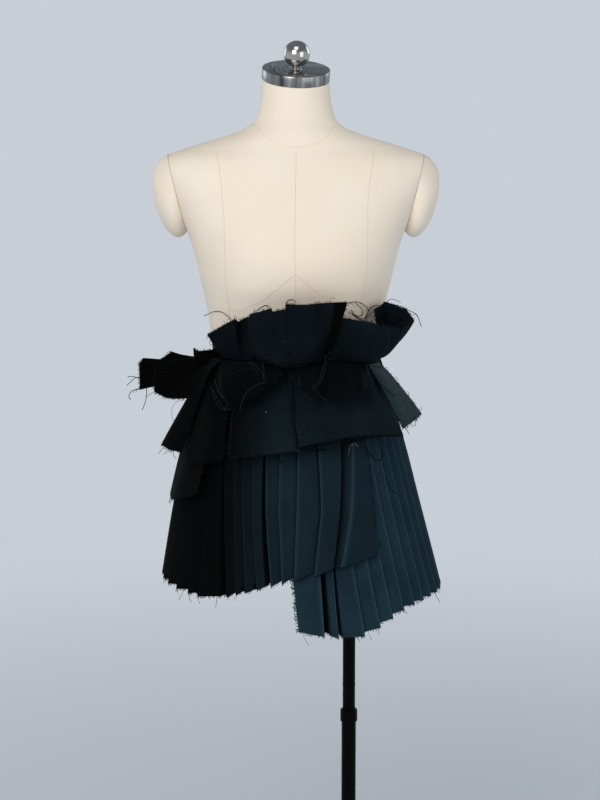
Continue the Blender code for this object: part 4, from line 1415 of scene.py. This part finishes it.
# %% Ruffle tables
Ruffle = namedtuple("Ruffle", "angle belly_out belly_down tip_x tip_y tip_z crisp")
UPPER_Z = 48.5
MIDDLE_Z_ROOT = 46.0
RUFFLE_ROOT = 2.4
RUFFLES = {
    "upper_ruffle_left": (UPPER_Z, [
        Ruffle(-56, 0, 2, -129, -80, 87, 1),
        Ruffle(-46, 4, 6, -108, -106, 102, 0),
        Ruffle(-38, 4, 8, -88, -122, 115, 1),
        Ruffle(-34, 0, 4, -84, -98, 108, 1),
        Ruffle(-31, 2, 6, -72, -106, 115, 1),
        Ruffle(-28.5, 4, 10, -60, -136, 119, 1),
    ]),
    "upper_ruffle_centre": (UPPER_Z, [
        Ruffle(-26, 6, 20, -66, -152, 126, 1),
        Ruffle(-20, 16, 42, -51, -157, 131, 0),
        Ruffle(-13, 22, 59, -36, -157, 135, 1),
        Ruffle(-11, 24, 62, -33, -154, 130, 1),
        Ruffle(-4, 24, 66, -15, -158, 134, 1),
        Ruffle(-2.5, 24, 66, -13, -157, 141, 1),
        Ruffle(6, 22, 54, 9, -162, 141, 0),
        Ruffle(12, 14, 32, 27, -166, 143, 1),
        Ruffle(15, 8, 18, 49, -150, 142, 0),
        Ruffle(18, 4, 8, 73, -138, 142, 1),
    ]),
    "upper_ruffle_right": (UPPER_Z, [
        Ruffle(21.5, -2, 4, 58, -100, 108, 1),
        Ruffle(25, 4, 10, 74, -134, 119, 1),
        Ruffle(36, 16, 38, 106, -136, 112, 0),
        Ruffle(48, 16, 36, 132, -120, 105, 0),
        Ruffle(58, 12, 28, 154, -104, 100, 1),
        Ruffle(66, 6, 20, 172, -84, 108, 1),
        Ruffle(74, 2, 12, 161, -58, 122, 1),
        Ruffle(79, 2, 10, 131, -62, 133, 1),
        Ruffle(84, 4, 4, 114, -88, 124, 1),
    ]),
    "middle_ruffle_arm": (MIDDLE_Z_ROOT, [
        Ruffle(-122, 2, 10, -151, 36, 30, 1),
        Ruffle(-112, 2, 14, -187, 26, 46, 1),
        Ruffle(-106, 2, 14, -203, 10, 38, 1),
        Ruffle(-100, 3, 12, -229, 0, 41, 1),
        Ruffle(-94, 3, 6, -234, -8, 33, 1),
        Ruffle(-90, 2, 2, -233, -14, -4, 1),
        Ruffle(-84, 2, 8, -212, -34, 2, 1),
        Ruffle(-79, 4, 2, -206, -50, 38, 1),
        Ruffle(-75, 4, 2, -209, -60, 0, 1),
        Ruffle(-71, 8, 0, -191, -62, -9, 0),
        Ruffle(-66, 12, -2, -170, -72, -9, 0),
        Ruffle(-61, 14, -6, -149, -86, -5, 1),
        Ruffle(-57, 12, -10, -135, -96, 11, 1),
    ]),
    "middle_ruffle_left": (MIDDLE_Z_ROOT, [
        Ruffle(-54.5, 6, -12, -122, -90, 13, 1),
        Ruffle(-51.5, 14, -22, -106, -122, 5, 1),
        Ruffle(-46, 22, -32, -95, -138, -5, 0),
        Ruffle(-40, 26, -34, -76, -150, 0, 1),
        Ruffle(-33, 24, -28, -57, -154, 12, 0),
        Ruffle(-27, 14, -14, -37, -146, 26, 0),
        Ruffle(-22, 6, -4, -23, -128, 34, 1),
        Ruffle(-17, 2, 2, -16, -112, 38, 0),
    ]),
    "middle_ruffle_right": (MIDDLE_Z_ROOT, [
        Ruffle(-10.5, 2, 2, -8, -112, 37, 0),
        Ruffle(-4, 10, -2, 2, -140, 28, 1),
        Ruffle(3, 20, -8, 12, -156, 16, 0),
        Ruffle(10, 24, -20, 27, -164, 7, 1),
        Ruffle(14, 12, -8, 38, -146, 8, 1),
        Ruffle(20, 24, -20, 54, -164, 7, 0),
        Ruffle(26, 22, -20, 74, -160, 10, 0),
        Ruffle(31, 12, -10, 88, -144, 12, 1),
        Ruffle(38, 14, -14, 97, -142, 15, 1),
        Ruffle(50, 8, -10, 101, -126, 18, 1),
    ]),
}
print("pieces of the two rows in front:", len(RUFFLES))

# %% [markdown]
# ## From folds to ruffles
# The way is that of the flat layers, with roots on the form's own surface and knees that sag as
# well as belly out. The lower row's back can't be seen, so it is folded there in seven even
# waves: out, along, and in again.

# %% Ruffle columns
RUFFLE_ROWS = 20
RUFFLE_BETWEEN = 6
RUFFLE_CREASES = 3.4
RUFFLE_GRAIN = 0.16


def ruffle_columns(folds, root_z):
    """Columns of a ruffle, from where it is caught at the waist to its free edge."""
    curves = []
    for fold in folds:
        root = form_point(fold.angle, root_z, RUFFLE_ROOT)
        tip = Vector((fold.tip_x, fold.tip_y, fold.tip_z))
        outward = Vector((root.x, root.y, 0.0)).normalized()
        knee = (root + tip) / 2 + outward * fold.belly_out - Vector((0.0, 0.0, fold.belly_down))
        curve = [curve_point(root, knee, tip, k / RUFFLE_ROWS) for k in range(RUFFLE_ROWS + 1)]
        curves.append(curve)
    return between_curves(curves, RUFFLE_BETWEEN, [fold.crisp for fold in folds])


def wave_folds(start, stop, waves, far, near, tip_z, rise):
    """Box-like folds for a ruffle's back: each wave goes out, runs flat and comes in again."""
    folds = []
    pitch = (stop - start) / waves
    for k in range(waves):
        lift = 4.0 * math.sin(k * 1.7)
        for part, out, up in ((0.0, near, rise), (0.3, far, 0.0), (0.7, far, 0.0)):
            angle = start + pitch * (k + part)
            tip = form_point(angle, UPPER_Z, out)
            folds.append(Ruffle(angle, out * 0.2, -out * 0.3, tip.x, tip.y, tip_z + up + lift, 1))
    return folds


back_folds = wave_folds(138, 242, waves=7, far=62, near=42, tip_z=-4, rise=18)
print("folds of the lower row's back:", len(back_folds))

# %% [markdown]
# ## Making the two rows
# One loop makes them too, with deeper and closer creases than in the flat layers. The last fold
# of the upper row's centre piece turns away from the window, and gets painted shade to look black.

# %% The two rows
RUFFLES["middle_ruffle_back"] = (MIDDLE_Z_ROOT, back_folds)
RUFFLE_SHADE = {"upper_ruffle_centre": {column: -1.0 for column in range(50, 60)}}
for seed, (name, (root_z, folds)) in enumerate(RUFFLES.items()):
    columns = rumpled(
        ruffle_columns(folds, root_z), RUFFLE_CREASES, seed + 20.5, RUFFLE_GRAIN,
    )
    mat = LIT_RIM_WOOL if name.startswith("upper") else SHADED_RUFFLE_WOOL
    cloth_piece(
        name, columns, mat,
        raw=("end", "first", "last"), pressed=RUFFLE_SHADE.get(name),
    )

# %% [markdown]
# ## Box flap
# At the wearer's right a small end of cloth is folded like a box over the waistband. Four
# upright lines give its corners, and the cloth between them is a little rounded.

# %% Box flap
BOX_ROWS, BOX_BETWEEN = 8, 8
Edge = namedtuple("Edge", "low_x low_y low_z high_x high_y high_z")
BOX_FLAP = [
    Edge(-113.0, -40, 49, -113.4, -40, 62),
    Edge(-124, -46, 47, -121, -48, 61),
    Edge(-145, -50, 42, -142, -54, 59.5),
    Edge(-150, -42, 42, -151, -43, 62),
]
curves = []
for edge in BOX_FLAP:
    low, high = Vector(edge[:3]), Vector(edge[3:])
    curves.append([low.lerp(high, k / BOX_ROWS) for k in range(BOX_ROWS + 1)])
box_columns = between_curves(curves, BOX_BETWEEN)
cloth_piece(
    "box_flap", box_columns, SHADED_RUFFLE_WOOL, raw=("end", "first"),
)

# %% [markdown]
# ## Waistband
# A narrow band lies flat on the form, and every tier and ruffle is sewn to it. It is one strip
# taken all the way round, so its grid closes on itself at the centre back.

# %% Waistband
BAND_LOW, BAND_HIGH, BAND_OUT = 33.0, 60.0, 1.0
BAND_TURNS, BAND_ROWS = 96, 4
heights = [BAND_LOW + (BAND_HIGH - BAND_LOW) * k / BAND_ROWS for k in range(BAND_ROWS + 1)]
band_columns = []
for i in range(BAND_TURNS + 1):
    angle = 180.0 + 360.0 * i / BAND_TURNS
    band_columns.append([form_point(angle, z, BAND_OUT) for z in heights])
cloth_piece(
    "waistband", band_columns, SHADED_RUFFLE_WOOL,
    raw=("end",), closed=True,
)

# %% [markdown]
# ## Camera
# The camera stands 3.2 m in front of the form, level with its knob, and looks a little down
# through a long lens. It comes before the loose threads, because they are placed by what it sees.

# %% Camera
EYE = Vector((6, -3200, 510))
AIM = Vector((6, 0, -22.5))
FOCAL_PX = 2162.67
PICTURE = (600, 800)
SENSOR_MM = 36.0
camera = bpy.data.cameras.new("camera")
camera.lens = FOCAL_PX / PICTURE[1] * SENSOR_MM
camera.sensor_width = SENSOR_MM
eye = bpy.data.objects.new("camera", camera)
bpy.context.scene.collection.objects.link(eye)
eye.location = place(EYE)
eye.rotation_mode = "QUATERNION"
eye.rotation_quaternion = (place(AIM) - place(EYE)).to_track_quat("-Z", "Y")
bpy.context.scene.camera = eye
print("lens:", round(camera.lens, 1), "mm")

# %% [markdown]
# ## From the picture onto the cloth
# A yarn's place is read off the photograph as a few picture points. A ray from the camera through
# each of them meets the first cloth, and that gives the point its depth. Over a gap in the cloth
# the depth may change by 2 mm a step at most, so the yarn is slung over the gap.

# %% Laying a line on the cloth
SLACK = 2.0
RAY_M = 4.0


def through_pixel(px, py):
    """The direction from the camera through a point of the picture."""
    ahead = (AIM - EYE).normalized()
    sideways = Vector((1, 0, 0))
    upward = sideways.cross(ahead)
    right, down = px - PICTURE[0] / 2, py - PICTURE[1] / 2
    return (ahead + sideways * right / FOCAL_PX - upward * down / FOCAL_PX).normalized()


def on_cloth(pixels, proud=0.8, between=5):
    """A smooth line through picture points, laid on the cloth and slung over its gaps."""
    spots = smoothed(pixels, between)
    ways = [through_pixel(s.x, s.y) for s in spots]
    depths = []
    for way in ways:
        hits = [tree.ray_cast(place(EYE), way, RAY_M)[3] for tree in SURFACES.values()]
        hits = [hit / MM for hit in hits if hit is not None]
        depths.append(min(hits) if hits else None)
    known = [(i, d) for i, d in enumerate(depths) if d is not None]
    filled = [
        d if d is not None else min(known, key=lambda k: abs(k[0] - i))[1]
        for i, d in enumerate(depths)
    ]
    laid = [min(d + SLACK * abs(i - j) for j, d in enumerate(filled)) for i in range(len(filled))]
    return [EYE + way * (depth - proud) for way, depth in zip(ways, laid)]


print("surfaces that a thread can lie on:", len(SURFACES))

# %% [markdown]
# ## Dark threads
# The cloth was cut and left raw, so long yarns have worked loose. Dark ones curl over the rim of
# the upper row and hang from the loose end and the peplum. Each is drawn with its own picture
# points, because a scatter would miss the ones that the eye knows.

# %% Dark threads
DARK_LINES = [
    [(230.7, 318.7), (222.8, 312.7), (214.9, 311.4), (207, 314.7), (204, 316)],
    [(256.4, 310.8), (262, 306.8), (267, 305.4), (269, 308)],
    [(255.4, 311.7), (262.3, 321.6), (272.2, 333.5), (278.2, 343.4), (286, 351.3), (295, 356.2),
     (295, 349.3), (291, 344.4), (282, 341.8)],
    [(348.3, 302.9), (357.2, 301.9), (365.2, 305.8), (368.1, 311.7), (363.2, 318.7),
     (355.3, 315.7), (351.3, 309.8)],
    [(349.3, 311.7), (357.2, 317.7), (365.2, 319.7), (375, 308.8), (384.9, 304.8)],
    [(383, 301.9), (406.7, 309.8), (396.8, 325.6), (379, 325.6), (375, 313.7), (392.8, 311.7),
     (402.7, 315.7)],
    [(404, 309.5), (410, 311), (416.6, 314.7), (419.5, 321.6), (421.5, 326.6)],
    [(286, 304), (288, 300.5), (293, 299.8), (296, 303)],
    [(386, 304.5), (388, 300.5), (393, 299.3), (401, 302.5)],
    [(366, 318), (370, 308), (378, 305.5), (384, 309), (379, 316), (371, 322)],
    [(355, 303), (362, 309), (361, 316), (352, 314)],
    [(142, 377.5), (135, 378), (127, 385.5)],
    [(142, 379.5), (133, 376.5), (127.5, 377)],
    [(141.7, 388.9), (131.9, 390.8), (128.9, 396.8), (130.9, 399.7)],
    [(147, 385.5), (146.5, 391), (145.7, 400.7), (142.1, 410.2)],
    [(361.2, 442.2), (371.1, 454.1), (377, 461), (382.9, 456.1), (381, 446.2)],
    [(382.5, 460), (385, 475), (390, 487.5), (397.5, 494.5)],
    [(414.6, 416.5), (415.6, 424.4), (411.6, 426.4)],
    [(377, 380), (383, 386), (390, 392.5), (396.4, 397)],
    [(373, 366), (378, 367.5), (381, 366), (380, 370)],
    [(397, 425), (405, 428), (409, 434)],
    [(272, 455), (279, 458), (281, 464)],
]
threads("loose_dark_threads", [on_cloth(line) for line in DARK_LINES], 1.0, THREAD)
print("dark threads:", len(DARK_LINES))

# %% [markdown]
# ## Grey threads
# Thin yarns with their nap rubbed off hang from the seam between the two rows, over the darkest
# of the folds.

# %% Grey threads
GREY_LINES = [
    [(381, 319.7), (386.9, 329.5), (388.9, 339.4), (387.9, 349.3)],
    [(185.2, 399.7), (175.4, 402.7), (171.8, 410.6), (172.4, 418.5), (175.4, 422.9)],
    [(213.9, 375), (205, 388.9), (197.1, 400.7), (194, 405)],
    [(210.9, 386.9), (218.9, 400.7), (224.8, 409.6), (230.7, 406.6), (218.9, 392.8), (214.9, 379)],
    [(212, 389), (216, 402), (223, 410), (228, 403)],
    [(266.3, 381.9), (256.4, 384.9), (246.5, 392.8), (240.6, 406.6), (240.2, 411.6)],
    [(252.5, 362.2), (258.4, 369), (264.3, 377), (265, 381)],
    [(262, 362), (264, 372), (263, 380)],
    [(249, 361), (254, 368), (258, 373)],
    [(281, 373), (277, 380), (268, 388)],
    [(298.9, 377), (300.9, 386.9), (307.8, 396.8), (315.7, 400.7)],
    [(323.6, 363.2), (319.7, 379), (313.8, 386.9), (321.7, 396.8), (327.6, 400.7)],
    [(325, 355), (325, 370), (319, 384), (312, 389)],
    [(331, 352), (330, 358), (326, 364)],
    [(340, 349), (333, 353), (326, 356), (331, 360)],
    [(262.3, 355.5), (272, 359), (278, 364), (286, 366)],
    [(283, 341), (290, 343.5), (294.5, 349), (294, 356)],
]
grey_paths = [on_cloth(line) for line in GREY_LINES]
threads("loose_grey_threads", grey_paths, 0.5, GREY_THREAD)
print("grey threads:", len(GREY_LINES))

# %% [markdown]
# ## Rolled edges and shade lines
# A raw edge that is handled rolls up to a soft dark cord. Such rolls run along the seam between
# the rows and along the edges of the peplum's pieces, where they hide the thin cut. They also
# stand in for the shade that falls along these edges: a dark cord as painted shade.

# %% Rolled edges and shade lines
ROLLS_AND_SHADE_LINES = [
    [(258, 356.5), (270.3, 361.2), (284.1, 364.1), (297.9, 366.1), (309.8, 362.2), (323, 355.2)],
    [(262, 360), (274, 364), (290, 367.5), (304, 366), (318, 359)],
    [(299, 449.5), (308, 448.6), (318, 449.8), (327, 449)],
    [(300, 450.5), (312, 450.6), (326, 450.2)],
    [(342, 443.2), (350, 441), (359, 439), (367, 436.8)],
    [(344, 444.5), (355, 441.6), (366, 438.6)],
    [(229, 377), (238, 371), (248, 368), (257, 370)],
    [(290.5, 378), (292, 395), (294, 415), (295.5, 432), (296.5, 448)],
    [(291.5, 380), (293.2, 400), (296.5, 446)],
    [(296.5, 448.5), (320, 445.5), (345, 441), (372, 437.5), (400, 435.5)],
    [(297, 447.5), (322, 444.6), (348, 440), (374, 436.6), (399, 434.8)],
    [(229.5, 456.8), (245, 456.4), (270, 454.8), (296, 451.6)],
    [(233, 412), (231.5, 428), (229.5, 455)],
]
# Dark cords, partly rolled edges and partly painted shade along them.
threads("raw_edge_rolls_and_shade_lines", [on_cloth(line, 1.0) for line in ROLLS_AND_SHADE_LINES], 2.0, THREAD)
print("rolled edges:", len(ROLLS_AND_SHADE_LINES))


# %% [markdown]
# ## Stitches, lint and selvedge
# A running stitch shows as short runs of thread, so a line on the cloth is cut up by its own
# length. A few rows of basting and bits of lint are left on the peplum. The long panel's free
# edge is the cloth's selvedge, with a closer and more even fringe than a cut edge.


# %% Stitches, lint and selvedge
def stitches(pixels, stitch=1.5, gap=1.1):
    """A row of running stitches along a line that is laid on the cloth."""
    line = on_cloth(pixels, 0.7, 24)
    runs, current, gone = [], [], 0.0
    for a, b in zip(line, line[1:]):
        gone += (b - a).length
        if gone % (stitch + gap) < stitch:
            current.append(a)
        elif len(current) > 1:
            runs.append(current)
            current = []
        else:
            current = []
    return runs


PALE_LINES = [
    [(356.3, 443.2), (350.3, 446.2), (348.3, 455.1)],
    [(355, 444), (358, 446.5)],
    [(395.6, 396.5), (396.8, 397.8)],
    [(401.5, 408.5), (403, 409.4)],
    [(265.3, 411.9), (266.4, 412.6)],
]
threads("pale_lint", [on_cloth(line) for line in PALE_LINES], 0.45, PALE_THREAD)
runs = stitches([(263, 394.3), (276, 394), (289, 394.2)], 1.0, 1.3)
threads("basting_stitches", runs, 0.35, GREY_THREAD)
edge_line = [(374.6, 392.6), (383, 406), (391, 420), (399, 434)]
edge_runs = stitches(edge_line, 5.0, 0.8) + stitches([(x - 1, y) for x, y in edge_line], 2.0, 2.0)
threads("selvedge_stitches", edge_runs, 0.4, GREY_THREAD)
free = [c[: PLEAT_ROWS // 3] for c in LONG_COLUMNS[:2]]
fray("selvedge_fringe", free, ("first",), SELVEDGE, 0.5, 7.0, 0.0, 0.9)
print("stitches:", len(runs) + len(edge_runs))

# %% [markdown]
# ## Floor
# A pale paper floor runs back under the stand. A curved sweep would end somewhere in a wide view,
# so the floor is a flat disc that turns clear between 0.4 and 3.4 m from its middle, and the
# room's colour takes over without an edge.

# %% Floor
FLOOR_RADIUS = 14.0
bm = bmesh.new()
bmesh.ops.create_circle(bm, cap_ends=True, segments=96, radius=FLOOR_RADIUS)
floor = bpy.data.objects.new("studio_floor", mesh_of(bm, "studio_floor"))
bpy.context.scene.collection.objects.link(floor)
floor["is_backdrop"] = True
# Matt paper of a cool white, without a gloss that would mirror the lamps.
PAPER = new_material("studio_paper", Base_Color=linear("dce1e7"), Roughness=0.95)
floor.data.materials.append(PAPER)
away = add_node(
    PAPER, "ShaderNodeVectorMath", {0: (add_node(PAPER, "ShaderNodeTexCoord"), "Object")},
    operation="LENGTH",
)
fade = add_node(
    PAPER, "ShaderNodeMapRange", {"Value": (away, "Value"), "From Min": 0.4, "From Max": 3.4},
    interpolation_type="SMOOTHSTEP",
)
clear = add_node(PAPER, "ShaderNodeBsdfTransparent")
mixed = add_node(
    PAPER, "ShaderNodeMixShader",
    {0: (fade, "Result"), 1: (PAPER.node_tree.nodes["Principled BSDF"], "BSDF"),
     2: (clear, "BSDF")},
)
ending = PAPER.node_tree.nodes["Material Output"]
PAPER.node_tree.links.new(mixed.outputs[0], ending.inputs["Surface"])
print("floor radius:", FLOOR_RADIUS, "m")

# %% [markdown]
# ## Room
# The room is the backdrop's pale grey around the horizon and darker overhead, which steel needs
# to look like steel. The view transform Standard leaves the matched colours as they are.

# %% Room
BACKDROP = linear("c8ced6")
CEILING = linear("838b93")
world = bpy.data.worlds.new("studio")
bpy.context.scene.world = world
world.use_nodes = True
parts = add_node(
    world, "ShaderNodeSeparateXYZ", {0: (add_node(world, "ShaderNodeTexCoord"), "Generated")},
)
room = add_node(
    world, "ShaderNodeValToRGB", {"Fac": (parts, "Z")},
    [(0.0, BACKDROP), (0.1, BACKDROP), (0.45, CEILING)],
)
background = world.node_tree.nodes["Background"]
world.node_tree.links.new(room.outputs["Color"], background.inputs["Color"])
bpy.context.scene.view_settings.view_transform = "Standard"
print("room:", world.name)


# %% [markdown]
# ## Lamps
# One large soft lamp stands high at the front left, like a window, and gives the form its shape.
# A weaker one from above lights the shoulders, and three more fill the right side and the back.


# %% Lamps
def soft_light(name, spot, size, power, colour):
    """A large lamp, aimed at the form's chest."""
    lamp = bpy.data.lights.new(name, "AREA")
    lamp.shape = "RECTANGLE"
    lamp.size, lamp.size_y = size
    lamp.energy = power
    lamp.color = linear(colour)[:3]
    holder = bpy.data.objects.new(name, lamp)
    bpy.context.scene.collection.objects.link(holder)
    holder.location = place(spot)
    holder.rotation_mode = "QUATERNION"
    holder.rotation_quaternion = (place((0, 0, 60)) - place(spot)).to_track_quat("-Z", "Y")


soft_light("window_left", (-1100, -2650, 1250), (1.6, 1.6), 47, "fff7ee")
soft_light("ceiling_front", (-200, -1700, 2500), (1.3, 1.3), 14, "fffaf4")
soft_light("room_right", (1900, -2000, 300), (1.4, 2.0), 13, "fff9f2")
soft_light("room_back", (2300, 1700, 1300), (1.6, 1.6), 13, "f6f8ff")
soft_light("room_back_left", (-2300, 1900, 900), (1.6, 1.6), 10, "f6f8ff")
print("lamps:", len(bpy.data.lights))

# %% [markdown]
# ## The dressed part's box
# The box round everything that renders, without the floor, is printed. The dressed part may
# reach only a little past the CAD part.

# %% The dressed part's box
low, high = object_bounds()
print("visual box", [round(v, 3) for v in (*low, *high)])
